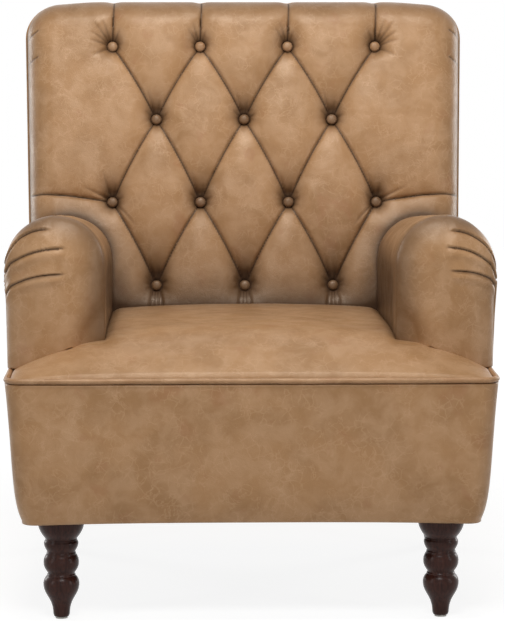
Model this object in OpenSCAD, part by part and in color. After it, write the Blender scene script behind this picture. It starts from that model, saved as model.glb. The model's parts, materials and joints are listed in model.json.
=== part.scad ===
// Upholstered accent chair: tight tee seat, rolled arms with pleated fronts,
// deep-buttoned raked back, turned front legs. X is the width, -Y the front, +Z up.
// The origin is on the floor, under the middle of the chair.

/* [Overall] */
// Width of the body over the arms
body_w = 762; // [740:1:800]
// Depth from the front welt to the rear welt
overall_d = 800; // [780:1:840]
// Height of a leg with its glide
leg_h = 163; // [130:0.5:190]
// Diameter of the welts
welt_d = 9; // [7:0.5:10]

/* [Frame] */
// Thickness of the rails and boards
board_t = 22; // [18:1:24]
// Height of the seat rails
rail_h = 157; // [150:1:170]
// Padding and leather between the seat frame and the outside of an arm
side_padding = 39; // [38:1:46]
// Depth of the front rail's face behind the front welt
rail_setback = 20; // [17:1:24]
// Width of a post
post_w = 38; // [32:1:44]
// Depth of a back post
back_post_d = 42; // [36:1:46]
// Length of the back posts along the rake
back_post_len = 751; // [735:1:760]
// Depth of an arm post
arm_post_d = 50; // [40:1:60]
// Size of a corner block along each rail
block_w = 86; // [78:1:96]
// Height of a corner block
block_h = 58; // [45:1:80]
// Width of a corner block's ends
block_end = 30; // [26:1:40]
// Diameter of a corner block's screw
screw_d = 5; // [4:0.5:6]
// Length of a corner block's screw
screw_l = 36; // [30:1:40]

/* [Seat] */
// Depth of the seat in front of the arms
ear_d = 130; // [115:1:145]
// Thickness of the felt deck on the springs
deck_t = 3; // [2:0.5:4]
// Thickness of the seat foam slab
seat_foam_t = 46; // [36:1:56]
// Height of the seat's edge over its foam slab
seat_edge = 5; // [4:0.5:8]
// Rise of the seat from its edge to its crown
seat_rise = 67; // [50:1:80]
// Width of the rounded nose round the seat's edge
nose_w = 170; // [140:1:200]
// Diameter of the seat spring wire
wire_d = 3.6; // [3:0.2:4.4]
// Number of seat springs
springs = 5; // [3:1:5]
// Spacing of the seat springs
spring_gap = 92; // [80:1:98]

/* [Arms] */
// Width of an arm
arm_w = 152.4; // [140:0.2:160]
// Height of an arm's top at its front
arm_top = 625; // [605:1:640]
// Fall of the arms towards the back, in degrees
arm_fall = 4.2; // [3:0.1:5]
// Thickness of the leather and wadding on the arms
arm_cover_t = 5; // [4:0.5:6]
// Drop of the arm cover below the middle of its roll, outside
arm_skirt = 43; // [36:1:52]
// Thickness of the plywood facing at an arm's front
facing_t = 12; // [9:1:15]
// Width of the arm's top board
arm_board_w = 86; // [80:1:92]
// Height of the top board over the middle of the roll
arm_board_rise = 30; // [24:1:34]
// Height of the liner rail inside an arm
liner_h = 38; // [30:1:42]
// Swell of the pleated arm front
arm_swell = 34; // [26:1:38]
// Depth of a pleat's lap on the arm front
pleat_lap = 4; // [2:0.5:5]

/* [Back] */
// Foam and leather over the tops of the back posts
back_over = 35; // [29:1:43]
// Thickness of the back from its crown to its rear face
back_t = 152; // [147:1:158]
// Angle of the back from upright
rake = 11.5; // [10.5:0.1:12.5]
// Radius of the back's top corners
back_corner_r = 56; // [46:1:64]
// Radius of the rounded edge round the face of the back
back_edge_r = 48; // [40:1:50]
// Thickness of the back's foam slab
back_foam_t = 39; // [34:1:42]
// Thickness of the outer back panel with its leather
back_panel_t = 5; // [4:0.5:6]
// Thickness of the stiff board in the outer back
back_board_t = 3; // [2:0.5:4]
// Thickness of the border round the back
border_t = 10; // [8:1:12]
// Height of the lowest row of buttons along the rake
button_row_z = 283; // [277:1:289]
// Distance of the highest row of buttons below the top of the back
button_top_drop = 83.4; // [78:0.2:92]
// Distance between the buttons of one row
button_gap = 153; // [146:0.5:158]
// Diameter of a covered button
button_d = 18; // [15:0.5:20]
// Rise of a tuft over its pleats
tuft_rise = 12; // [8:0.5:16]
// Depth of a button's pocket under the pleats
button_draw = 16; // [12:1:20]
// Width of the webbing
web_w = 50; // [40:1:56]
// Thickness of the webbing
web_t = 1.5; // [1:0.1:2]

/* [Legs] */
// Greatest diameter of a turned front leg
leg_d = 71; // [64:1:74]
// Distance of the front legs' axes inside the sides of the seat frame
front_leg_in = 45.5; // [42:0.5:52]
// Depth of the front legs' axes behind the front welt
front_leg_back = 75; // [72:1:84]
// Distance of the rear legs' tops inside the sides of the seat frame
rear_leg_in = 32; // [31:1:42]
// Distance from the rear legs' axes to the back posts
rear_leg_front = 20; // [18:1:30]
// Width of a rear leg at its top
rear_leg_w = 40; // [34:1:42]
// Width of a rear leg at its foot
rear_foot_w = 26; // [22:1:30]
// Backward splay of a rear leg's foot
rear_splay = 45; // [30:1:55]
// Outward splay of a rear leg's foot
rear_spread = 24; // [10:1:26]
// Diameter of a nylon glide
glide_d = 19; // [15:1:20]
// Height of a nylon glide
glide_h = 3; // [2:0.5:4]
// Diameter of a leg's hanger bolt
bolt_d = 8; // [6:0.5:9]
// Thickness of a steel leg plate
plate_t = 2.5; // [2:0.5:3]
// Width of a steel leg plate
plate_w = 62; // [58:1:64]

/* [Hidden] */

LEATHER = "#a98561";
LEATHER_DARK = "#8f6d4d";
TIMBER = "#c9a877";
STEEL = "#8d9094";
FOAM = "#e9e0bf";
JUTE = "#b39a6b";
BOARD = "#9c8a70";
CAMBRIC = "#2b2a2a";
ESPRESSO = "#3a2420";
NYLON = "#d8d6cf";

clear = 0.4;                            // gap between soft pieces that would rub
play = 0.1;                             // radial play of a bolt, nail or screw in its hole
far = 2000;                             // larger than the chair

// Seat frame
half_w = body_w / 2;
front_y = -overall_d / 2;
base_z = leg_h + plate_t;               // underside of the timber frame
rail_top = base_z + rail_h;
rail_y = front_y + rail_setback;
frame_half = half_w - side_padding;
frame_in = frame_half - board_t;        // inner faces of the side rails
post_in = frame_half - post_w;          // inner faces of the back posts

// Seat, from its springs to its welt
welt_r = welt_d / 2;
clip_h = wire_d + 1.8;
deck_z = rail_top + clip_h + 0.1;
foam_z = deck_z + deck_t;
cover_z = foam_z + seat_foam_t;         // underside of the seat cover
edge_z = cover_z + seat_edge;           // edge of the seat cover
welt_z = cover_z + welt_r + 0.3;
edge_in = 2 * welt_r + 0.3;             // how far the cover's edge sits inside the welt
welt_bend = 24;                         // radius of the welt round the seat's corners

// Arms
arm_x = half_w - arm_w / 2;
arm_r = arm_w / 2;
arm_in = half_w - arm_w;                // half the clear width between the arms
arm_axis_z = arm_top - arm_r;           // middle of an arm's roll at its front
arm_core_r = arm_r - arm_cover_t - 0.3;
arm_wall = arm_core_r - arm_board_w / 2;
liner_z = foam_z + 4;

// Back, in its own frame: X across, Y back from the rear face, Z up along the rake
welt_in = 1;                            // how far the rear welt sits inside the outline
back_len = back_post_len + back_over;   // length of the back along its rake
back_y = overall_d / 2 - welt_r - (back_len - welt_in) * sin(rake) + welt_in * cos(rake);
post_front = -(back_panel_t + back_board_t + back_post_d);
web_front = post_front - 2 * web_t;
pad_y = web_front - back_foam_t;        // rear face of the tufted cover
rear_edge_y = -(welt_in + welt_r + 0.3);
back_foot = 203;                        // bottom of the back's padding
ledge = 307;                            // bottom of the back's padding beside the arms
lower_rail = [167, 211];
shoulder = back_len - back_corner_r;    // where the top corners start

function clamp(v, low, high) = min(max(v, low), high);
function mix(a, b, k) = a + (b - a) * k;
function smooth(k) = let (c = clamp(k, 0, 1)) c * c * (3 - 2 * c);
function depth_y(t) = front_y + t;

// Depth coordinate, at a height, of a plane that leans with the back.
function leaning_y(y, z) = back_y + y / cos(rake) + (z - base_z) * tan(rake);
function back_at(x, y, z) =
    [x, back_y + y * cos(rake) + z * sin(rake), base_z - y * sin(rake) + z * cos(rake)];

// Half width of the body: drawn in below the seat's edge, and turned under at its foot.
side_taper = 13;
side_turn = 18;
side_proud = 3;                         // the arms and welts stand this proud of the sides
side_skin = 2;                          // least thickness of the leather and wadding on the sides
function side_x(z) =
    let (k = clamp((z - base_z) / (edge_z - base_z), 0, 1))
    half_w - side_proud - side_taper * (1 - k) - side_turn * pow(1 - k, 9);

// Half width of the body further back, where its sides draw in by a given amount.
function drawn_side_x(z, draw) = max(side_x(z) - draw, frame_half + side_skin);

// Half width of the back at a height along its rake.
rear_draw = 8;                          // the sides draw in this far towards the back
ledge_half = half_w - side_proud - rear_draw;
back_spread = 9;                        // the back widens this far towards its top
function back_half(z) =
    z < ledge ? drawn_side_x(base_z + z * cos(rake), rear_draw)
              : ledge_half + back_spread * clamp((z - ledge) / (shoulder - ledge), 0, 1);

// The back's outline, inset, from a height up one side, over the top and down.
corner_steps = 6;
function back_side(inset, low) =
    let (r = back_corner_r - inset, cx = back_half(shoulder) - back_corner_r)
    concat(
        [for (z = concat([low], [for (s = [0, 12, 30, 60, 120, 230, ledge]) if (s > low) s]))
            [back_half(z) - inset, z]],
        [for (k = [0:corner_steps])
            [cx + r * cos(90 * k / corner_steps), shoulder + r * sin(90 * k / corner_steps)]]);
function back_outline(inset, low) =
    let (side = back_side(inset, low), n = len(side))
    concat(side, [for (k = [n - 1:-1:0]) [-side[k][0], side[k][1]]]);

// Moves a point of a square corner onto a round one. a and b are measured from its centre.
function round_a(a, b, r) = a > 0 && b > 0 ? a * sqrt(1 - pow(b / r, 2) / 2) : a;

module in_back() {
    translate([0, back_y, base_z]) rotate([-rake, 0, 0]) children();
}

module in_arm() {
    translate([arm_x, depth_y(ear_d), arm_axis_z]) rotate([-arm_fall, 0, 0]) children();
}

module both_sides() {
    children();
    mirror([1, 0, 0]) children();
}

module on_side(side) {
    if (side > 0) children();
    else mirror([1, 0, 0]) children();
}

module box_at(low, high) {
    translate(low) cube(high - low);
}

// Draws an XZ outline as a slab from one depth to another.
module along_y(from, to) {
    translate([0, to, 0]) rotate([90, 0, 0]) linear_extrude(to - from) children();
}

module behind_back_plane(y) {
    in_back() box_at([-far, y, -far], [far, far, far]);
}

module below_frame() {
    box_at([-far, -far, -far], [far, far, base_z]);
}

module below_arm_skirt() {
    in_arm() box_at([-far, -far, -far], [far, far, -arm_skirt]);
}

// Walks round a grid from corner to corner, one step at a time.
function walk(corners) = [
    for (k = [0:len(corners) - 1])
        let (a = corners[k], b = corners[(k + 1) % len(corners)],
             n = max(abs(b[0] - a[0]), abs(b[1] - a[1])))
        for (s = [0:n - 1]) a + (b - a) / n * s];

function cell(a, b, c, d, lean) = lean ? [[a, b, d], [b, c, d]] : [[a, b, c], [a, c, d]];

// A padded piece: a grid of points for its face, closed by walls down to a flat base.
// corners walk round its edge, and spans gives each strip's first and last column.
// lean says which cells turn their diagonals.
module padded(face, base, corners, spans, lean = function (i, j) false) {
    cols = len(face[0]);
    edge = walk(corners);
    first = len(face) * cols;
    points = concat([for (row = face) each row], [for (e = edge) base(face[e[0]][e[1]])]);
    cells = [
        for (i = [0:len(spans) - 1]) for (j = [spans[i][0]:spans[i][1] - 1])
            let (a = i * cols + j, b = a + cols)
            each cell(a, b, b + 1, a + 1, lean(i, j))];
    walls = [
        for (k = [0:len(edge) - 1])
            let (m = (k + 1) % len(edge), p = edge[k], q = edge[m],
                 a = p[0] * cols + p[1], b = q[0] * cols + q[1])
            each [[a, b, first + m], [a, first + m, first + k]]];
    keys = [for (e = edge) e[0] * cols + e[1]];
    rim = function (i, span) [
        for (j = [span[0]:span[1]]) let (k = search([i * cols + j], keys)[0])
            if (is_num(k)) first + k];
    flat = [
        for (i = [0:len(spans) - 1])
            let (p = rim(i, spans[i]), q = rim(i + 1, spans[i]))
            each concat([for (m = [0:len(p) - 2]) [p[m], p[m + 1], q[0]]],
                        [for (m = [0:len(q) - 2]) [p[len(p) - 1], q[m + 1], q[m]]])];
    polyhedron(points, concat(cells, walls, flat));
}

// A shell between two grids of points of the same size.
module shell(outer, inner) {
    rows = len(outer);
    cols = len(outer[0]);
    n = rows * cols;
    points = concat([for (row = outer) each row], [for (row = inner) each row]);
    faces = [
        for (i = [0:rows - 2]) for (j = [0:cols - 2])
            let (a = i * cols + j, b = a + cols, c = b + 1, d = a + 1)
            each [[a, b, c], [a, c, d], [n + a, n + c, n + b], [n + a, n + d, n + c]]];
    edge = walk([[0, 0], [0, cols - 1], [rows - 1, cols - 1], [rows - 1, 0]]);
    walls = [
        for (k = [0:len(edge) - 1])
            let (p = edge[k], q = edge[(k + 1) % len(edge)],
                 a = p[0] * cols + p[1], b = q[0] * cols + q[1])
            each [[a, b, n + b], [a, n + b, n + a]]];
    polyhedron(points, concat(faces, walls));
}

// A round tube swept along points. up is a direction that no stretch of it follows.
module tube(path, r, sides, up) {
    last = len(path) - 1;
    rings = [
        for (k = [0:last])
            let (way = path[min(k + 1, last)] - path[max(k - 1, 0)],
                 t = way / norm(way), s = cross(t, up), u = s / norm(s), v = cross(t, u))
            for (m = [0:sides - 1])
                let (angle = 360 * m / sides) path[k] + r * (cos(angle) * u + sin(angle) * v)];
    skin = [
        for (k = [0:last - 1]) for (m = [0:sides - 1])
            let (a = k * sides + m, b = k * sides + (m + 1) % sides)
            each [[a, b + sides, b], [a, a + sides, b + sides]]];
    ends = [[for (m = [0:sides - 1]) m], [for (m = [sides - 1:-1:0]) last * sides + m]];
    polyhedron(rings, concat(skin, ends));
}

// Seat surface: a rounded nose at the front and round the ears, and a crown behind it.
seat_side_fall = 0.22;                  // share of the rise lost beside the arms
seat_tail = 6;                          // fall of the seat behind its crown
function nose(d) = 1 - pow(1 - clamp(d / nose_w, 0, 1), 2.2);
function seat_z(x, t) =
    let (round_side = mix(nose(half_w - abs(x)), 1, smooth((t - ear_d) / 60)),
         crown = 1 - seat_side_fall * pow(min(abs(x) / arm_in, 1), 2.4),
         tail = seat_tail * smooth((t - 2 * ear_d) / (2 * ear_d)))
    edge_z + (seat_rise - tail) * nose(t) * round_side * crown;

seat_side_cols = 9;
ear_cols = 6;
ear_rows = 6;
seat_rows = 18;
function seat_col_x(k) =
    let (a = abs(k), s = sign(k), mid = arm_in - clear)
    s * (a <= seat_side_cols
        ? mid * a / seat_side_cols
        : mix(mid, half_w - edge_in, 1 - pow(1 - (a - seat_side_cols) / ear_cols, 1.6)));

module seat_cover() {
    last = 2 * (seat_side_cols + ear_cols);
    left = ear_cols;
    right = last - ear_cols;
    turn = welt_bend - welt_r - 0.5;
    face_back = -back_t - clear;
    face = [
        for (i = [0:seat_rows]) [
            for (j = [0:last])
                let (x = seat_col_x(j - last / 2),
                     rear = leaning_y(face_back, seat_z(x, far)) - front_y,
                     t = i <= ear_rows
                         ? mix(edge_in, ear_d - clear, pow(i / ear_rows, 1.3))
                         : mix(ear_d - clear, rear, (i - ear_rows) / (seat_rows - ear_rows)),
                     a = abs(x) - (half_w - edge_in - turn),
                     b = edge_in + turn - t,
                     px = x + sign(x) * (round_a(a, b, turn) - a),
                     pt = t - (round_a(b, a, turn) - b))
                [px, depth_y(pt), i == 0 || j == 0 || j == last ? edge_z : seat_z(x, t)]]];
    color(LEATHER) padded(
        face,
        function (p) [p[0], min(p[1], leaning_y(face_back, cover_z)), cover_z],
        [[0, 0], [0, last], [ear_rows, last], [ear_rows, right], [seat_rows, right],
         [seat_rows, left], [ear_rows, left], [ear_rows, 0]],
        [for (i = [0:seat_rows - 1]) i < ear_rows ? [0, last] : [left, right]],
        function (i, j) j >= last / 2);
}

// The tee shape that the seat's felt and foam share.
module seat_tee(low, high, ear_half, mid_half, front, rear) {
    difference() {
        union() {
            box_at([-ear_half, front, low], [ear_half, depth_y(ear_d) - clear, high]);
            box_at([-mid_half, front, low], [mid_half, rear, high]);
        }
        behind_back_plane(-back_t - clear);
    }
}

module seat_foam() {
    color(FOAM) seat_tee(foam_z, cover_z, frame_half - clear, arm_in - clear,
                         rail_y + clear, depth_y(far));
}

spring_y = [rail_y + board_t / 2, leaning_y(post_front + board_t / 2, rail_top)];

module seat_deck() {
    color(JUTE) difference() {
        union() {
            box_at([-frame_half + clear, rail_y + clear, deck_z],
                   [frame_half - clear, depth_y(ear_d) - clear, foam_z]);
            box_at([-arm_in, rail_y + clear, deck_z],
                   [arm_in, spring_y[1] + board_t / 2, foam_z]);
        }
        behind_back_plane(post_front);
    }
}

spring_wave = 24;                       // half width of a spring's loops
spring_pitch = 62;
wave_steps = 8;
spring_axis_z = rail_top + clip_h / 2;
spring_x = [for (k = [0:springs - 1]) (k - (springs - 1) / 2) * spring_gap];

// A zigzag spring: straight end bars across, and rounded loops between them.
module seat_springs() {
    start = spring_y[0] + spring_wave / 4;
    run = spring_y[1] - spring_wave / 4 - start;
    waves = round(run / spring_pitch);
    steps = waves * wave_steps;
    color(STEEL) for (x = spring_x)
        tube(concat(
                [for (s = [-0.5, 0.6]) [x + spring_wave * s, spring_y[0], spring_axis_z]],
                [for (k = [0:steps])
                    let (angle = 360 * (k / wave_steps + 0.25))
                    [x + spring_wave * sin(angle),
                     start + run * (k - 0.55 * sin(2 * angle)) / steps, spring_axis_z]],
                [for (s = [0.6, -0.5]) [x + spring_wave * s, spring_y[1], spring_axis_z]]),
             wire_d / 2, 6, [0, 0, 1]);
}

clip_w = 20;
clip_d = 16;
module spring_clips() {
    color(STEEL) for (x = spring_x) for (y = spring_y)
        difference() {
            box_at([x - clip_w / 2, y - clip_d / 2, rail_top],
                   [x + clip_w / 2, y + clip_d / 2, rail_top + clip_h]);
            translate([x, y, spring_axis_z]) rotate([0, 90, 0])
                cylinder(h = clip_w + 1, r = wire_d / 2 + play, center = true, $fn = 32);
        }
}

module seat_welt() {
    side = half_w - welt_r;
    front = front_y + welt_r;
    rear = depth_y(ear_d) - clear;
    bend = [for (k = [0:6]) let (a = 15 * k)
        [side - welt_bend + welt_bend * sin(a), front + welt_bend - welt_bend * cos(a)]];
    half = concat([for (k = [1:6]) [(side - welt_bend) * k / 6, front]],
                  [for (k = [1:6]) bend[k]],
                  [for (k = [1:4]) [side, mix(front + welt_bend, rear, k / 4)]]);
    n = len(half);
    path = concat([for (k = [n - 1:-1:0]) [-half[k][0], half[k][1], welt_z]],
                  [[0, front, welt_z]],
                  [for (p = half) [p[0], p[1], welt_z]]);
    color(LEATHER_DARK) tube(path, welt_r, 12, [0, 0, 1]);
}

// The front border wraps the front rail and turns the corners as far as the arm fronts.
border_levels = [0, 0.03, 0.08, 0.16, 0.3, 0.5, 0.75, 1];
border_bend = 26;
function border_row(z, proud, bend, rear) =
    let (front = front_y + side_proud + proud, side = side_x(z) - proud,
         half = concat(
             [for (k = [0:4]) [(side - bend) * k / 4, front]],
             [for (k = [1:5]) [side - bend + bend * sin(18 * k), front + bend - bend * cos(18 * k)]],
             [for (k = [1:3]) [side, mix(front + bend, rear, k / 3)]]),
         n = len(half))
    concat([for (k = [n - 1:-1:1]) [-half[k][0], half[k][1], z]],
           [for (p = half) [p[0], p[1], z]]);
module front_border() {
    rear = depth_y(ear_d) - clear;
    foot = base_z - 4;
    turn = function (k) 14 * pow(1 - k, 12);
    sag = function (x, y, k) 5 * pow(1 - k, 3) * pow(abs(x) / half_w, 3)
                             * exp(-pow((y - front_y) / 60, 2));
    sink = function (p, k) [p[0], p[1], p[2] - sag(p[0], p[1], k)];
    outer = [for (k = border_levels)
        [for (p = border_row(mix(foot, cover_z, k), 0, border_bend, rear))
            sink([p[0], p[1] + turn(k) * smooth((rear - p[1] - ear_d / 2) / (ear_d / 2)), p[2]], k)]];
    inner_half = concat(
        [for (k = [0:4]) [(frame_half + clear - 1) * k / 4, rail_y - clear]],
        [for (k = [1:5]) [frame_half + clear - 1 + sin(18 * k), rail_y - clear + 1 - cos(18 * k)]],
        [for (k = [1:3]) [frame_half + clear, mix(rail_y - clear + 1, rear, k / 3)]]);
    n = len(inner_half);
    inner = [for (k = border_levels)
        let (z = mix(foot, cover_z, k))
        concat([for (m = [n - 1:-1:1]) sink([-inner_half[m][0], inner_half[m][1], z], k)],
               [for (p = inner_half) sink([p[0], p[1], z], k)])];
    color(LEATHER) shell(outer, inner);
}

// A side panel: padded leather from the frame's foot to the arm's skirt.
panel_levels = [0, 0.03, 0.08, 0.16, 0.3, 0.5, 0.7, 1];
panel_cols = 5;
module side_panel(side) {
    foot = base_z - 3;
    skirt_z = function (y) arm_axis_z - arm_skirt / cos(arm_fall)
                           - (y - depth_y(ear_d)) * tan(arm_fall) - clear;
    front = depth_y(ear_d);
    row = function (z)
        [for (j = [0:panel_cols])
            let (rear = leaning_y(rear_edge_y, z), y = mix(front, rear, j / panel_cols),
                 draw = rear_draw * smooth((y - front) / (rear - front)))
            [drawn_side_x(z, draw), y, z]];
    top_row = [for (j = [0:panel_cols])
        let (guess = skirt_z(leaning_y(rear_edge_y, arm_axis_z - arm_skirt)),
             rear = leaning_y(rear_edge_y, guess), y = mix(front, rear, j / panel_cols),
             draw = rear_draw * smooth((y - front) / (rear - front)))
        [drawn_side_x(far, draw), y, skirt_z(y)]];
    face = concat([for (k = panel_levels) row(mix(foot, edge_z, k))], [top_row]);
    color(LEATHER) on_side(side)
        shell(face, [for (r = face) [for (p = r) [frame_half, p[1], p[2]]]]);
}

// Arm roll sections, drawn across an arm: X outwards from its middle, Y up.
module arm_stadium(r) {
    circle(r, $fn = 96);
    translate([-r, -far]) square([2 * r, far]);
}

module arm_cut(from, to) {
    intersection() {
        children();
        box_at([0, depth_y(from), 0], [far, depth_y(to), far]);
    }
}

// Space that the back's rounded padding takes behind the arms.
module back_envelope() {
    half = back_half((arm_top - base_z) / cos(rake)) + clear;
    r = back_edge_r;
    front = -back_t - clear;
    right = concat([for (k = [0:8]) [half - r + r * sin(90 * k / 8), front + r - r * cos(90 * k / 8)]],
                   [[half, far]]);
    n = len(right);
    in_back() translate([0, 0, -far / 2]) linear_extrude(far)
        polygon(concat(right, [for (k = [n - 1:-1:0]) [-right[k][0], right[k][1]]]));
}

module arm_rear_cut() {
    back_envelope();
    behind_back_plane(pad_y - clear);
}

module arm_cover(side) {
    color(LEATHER) on_side(side) difference() {
        arm_cut(ear_d, far) in_arm() along_y(-20, far / 2) difference() {
            arm_stadium(arm_r);
            arm_stadium(arm_r - arm_cover_t);
        }
        box_at([0, -far, -far], [far, far, liner_z]);
        intersection() {
            below_arm_skirt();
            box_at([arm_x, -far, 0], [far, far, far]);
        }
        arm_rear_cut();
    }
}

module arm_foam(side) {
    color(FOAM) on_side(side) difference() {
        arm_cut(ear_d + facing_t, far) in_arm() along_y(-20, far / 2) difference() {
            arm_stadium(arm_core_r);
            translate([-arm_board_w / 2, -far]) square([arm_board_w, far + arm_board_rise]);
        }
        box_at([0, -far, -far], [far, far, liner_z + liner_h]);
        intersection() {
            below_arm_skirt();
            box_at([arm_x, -far, 0], [far, far, far]);
        }
        arm_rear_cut();
    }
}

module arm_facing(side) {
    color(TIMBER) on_side(side) difference() {
        arm_cut(ear_d, ear_d + facing_t) in_arm() along_y(-20, 40) arm_stadium(arm_core_r);
        box_at([0, -far, -far], [far, far, rail_top]);
        intersection() {
            in_arm() box_at([-far, -far, -far], [far, far, -arm_skirt + 1]);
            box_at([frame_half, -far, 0], [far, far, far]);
        }
    }
}

module arm_top_board(side) {
    color(TIMBER) on_side(side) difference() {
        arm_cut(ear_d + facing_t, far) in_arm()
            box_at([-arm_board_w / 2, -20, arm_board_rise - board_t],
                   [arm_board_w / 2, far / 2, arm_board_rise]);
        behind_back_plane(-back_t - clear);
    }
}

rear_arm_post_gap = 20;                 // space between the rear arm posts and the back
module arm_posts(side) {
    front = depth_y(ear_d + facing_t);
    rear = leaning_y(-back_t, rail_top) - rear_arm_post_gap;
    color(TIMBER) on_side(side) difference() {
        union() {
            box_at([frame_in, front, rail_top], [frame_half, front + arm_post_d, far]);
            box_at([frame_in, rear - arm_post_d, rail_top], [frame_half, rear, far]);
        }
        in_arm() box_at([-far, -far, arm_board_rise - board_t], [far, far, far]);
    }
}

module arm_liner_rail(side) {
    inner = arm_in + arm_cover_t + 0.3;
    color(TIMBER) on_side(side) difference() {
        box_at([inner, depth_y(ear_d + facing_t), liner_z],
               [inner + board_t, far, liner_z + liner_h]);
        behind_back_plane(post_front);
    }
}

// A pleated arm front: a swelling cap with three laps on its outer side.
cap_rim = 6;
cap_cols = 12;
lap_at = [-0.2, 0.27, 0.7];             // heights of the laps, from the seat (-1) to the top (1)
lap_gap = 0.02;
cap_steps = 3;
function cap_levels() =
    let (stops = concat([-1], lap_at, [1]), last = len(stops) - 1)
    [for (k = [0:last - 1])
        let (low = stops[k] + (k > 0 ? lap_gap : 0),
             high = stops[k + 1] - (k < last - 1 ? lap_gap : 0))
        for (s = [0:cap_steps]) mix(low, high, s / cap_steps)];
// How far under a lap a level lies: 1 just under it, 0 just over the one below.
function lap_share(v) =
    let (above = [for (k = [0:2]) if (v < lap_at[k]) k])
    len(above) == 0 ? 0
        : let (k = above[0], low = k == 0 ? lap_at[0] - 0.35 : lap_at[k - 1])
          clamp((v - low) / (lap_at[k] - low), 0, 1);
// The cap's foot rests on the seat and, past the seat's edge, on the welt.
function cap_foot(x, t) = max(seat_z(x, t) + 1, welt_z + welt_r + clear);
function cap_point(u, v) =
    let (over = max(v, 0),
         dx = arm_r * u * sqrt(1 - over * over / 2),
         dz = arm_r * over * sqrt(1 - u * u / 2),
         rho = min(norm([dx, dz]) / arm_r, 1),
         dome = pow(1 - pow(rho, 2.4), 0.55),
         lap = pleat_lap * lap_share(v) * smooth((u + 0.1) / 0.6) * min(1, 6 * dome),
         swell = cap_rim + (arm_swell - cap_rim) * dome - lap,
         x = arm_x + dx,
         foot = cap_foot(x, ear_d - swell))
    [x, depth_y(ear_d) - clear - max(swell, 1),
     v < 0 ? mix(arm_axis_z, foot, -v) : arm_axis_z + dz];
module arm_pleated_front(side) {
    levels = cap_levels();
    face = [for (v = levels)
        [for (j = [0:cap_cols]) cap_point(sin(90 * (2 * j / cap_cols - 1)), v)]];
    last = len(levels) - 1;
    color(LEATHER) on_side(side)
        padded(face,
               function (p) [p[0], depth_y(ear_d) - clear, max(p[2], cap_foot(p[0], ear_d))],
               [[0, 0], [0, cap_cols], [last, cap_cols], [last, 0]],
               [for (i = [0:last - 1]) [0, cap_cols]],
               function (i, j) j < cap_cols / 2);
}

module front_rail() {
    color(TIMBER) difference() {
        box_at([-frame_half, rail_y, base_z], [frame_half, rail_y + board_t, rail_top]);
        frame_bores();
    }
}

module side_rail(side) {
    color(TIMBER) on_side(side) difference() {
        box_at([frame_in, rail_y + board_t, base_z], [frame_half, far, rail_top]);
        behind_back_plane(post_front);
        frame_bores();
    }
}

module rear_rail() {
    color(TIMBER) difference() {
        in_back() box_at([-post_in, post_front, -board_t],
                         [post_in, post_front + board_t, 2 * rail_h]);
        below_frame();
        box_at([-far, -far, rail_top], [far, far, far]);
        frame_bores();
    }
}

module back_post(side) {
    color(TIMBER) on_side(side) difference() {
        in_back() box_at([post_in, post_front, -board_t],
                         [frame_half, post_front + back_post_d, back_post_len]);
        below_frame();
        frame_bores();
    }
}

// The top rail lies just over the washers of the highest row of buttons.
module back_top_rail() {
    color(TIMBER) in_back()
        box_at([-post_in, post_front, button_rows[3] + washer_d / 2 + 3],
               [post_in, post_front + board_t, back_post_len]);
}

module back_lower_rail() {
    color(TIMBER) in_back()
        box_at([-post_in, post_front, lower_rail[0]],
               [post_in, post_front + board_t, lower_rail[1]]);
}

// Corner blocks fill the corners of the seat frame, and carry the legs.
block_rear_y = leaning_y(post_front, base_z);
screw_head_r = 4.5;
screw_head_t = 3;
module block_plate() {
    linear_extrude(block_h)
        polygon([[0, 0], [block_w, 0], [block_w, block_end], [block_end, block_w], [0, block_w]]);
}

// Each block's own frame: X in from the side rail, Y along the side rail, Z up.
module in_blocks() {
    both_sides() {
        translate([frame_in, rail_y + board_t, base_z]) mirror([1, 0, 0]) children();
        translate([frame_in, block_rear_y, base_z]) mirror([1, 0, 0]) mirror([0, 1, 0])
            children();
    }
}

// Screw places in a block: one along Y by the thin end, and one along X.
screw_seat = 20;                        // timber under a screw's head
module in_screws() {
    in_blocks() {
        translate([block_w - 14, screw_seat, block_h * 0.35]) rotate([90, 0, 0]) children();
        translate([screw_seat, block_w - 14, block_h * 0.65]) rotate([0, -90, 0]) children();
    }
}

// Holes in the blocks and rails for the blocks' own screws and the leg plates' screws.
module frame_bores() {
    in_screws() cylinder(h = screw_l, r = screw_d / 2 + play, $fn = 24);
    plate_screws(plate_screw_r + play);
}

module corner_blocks() {
    color(TIMBER) difference() {
        in_blocks() block_plate();
        behind_back_plane(post_front);
        frame_bores();
        in_screws() translate([0, 0, -block_w])
            cylinder(h = block_w, r = screw_head_r + play, $fn = 32);
        leg_places() translate([0, 0, -1])
            cylinder(h = bolt_up + 2, r = bolt_d / 2 + play, $fn = 32);
    }
}

module corner_block_screws() {
    color(STEEL) in_screws() {
        cylinder(h = screw_l, r = screw_d / 2, $fn = 24);
        translate([0, 0, -screw_head_t]) cylinder(h = screw_head_t, r = screw_head_r, $fn = 32);
    }
}

// Back springing, foam and outer layers
web_cols = 6;
top_row_share = 0.886;                  // the two highest rows are this much closer together
button_rise = (back_len - button_top_drop - button_row_z) / (2 + top_row_share);
button_rows = [for (k = [0:3]) button_row_z + button_rise * (k == 3 ? 2 + top_row_share : k)];
button_cols = [[-1, 0, 1], [-1.5, -0.5, 0.5, 1.5], [-1, 0, 1], [-1.5, -0.5, 0.5, 1.5]];
buttons = [for (k = [0:3]) for (c = button_cols[k]) [c * button_gap, button_rows[k]]];
twine_r = 1;

module at_buttons(y) {
    for (b = buttons) translate([b[0], y, b[1]]) rotate([-90, 0, 0]) children();
}

// Thin bores for the button twines, along the back's depth.
module twine_bores(from, to) {
    at_buttons(from) cylinder(h = to - from, r = twine_r + play, $fn = 24);
}

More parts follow.
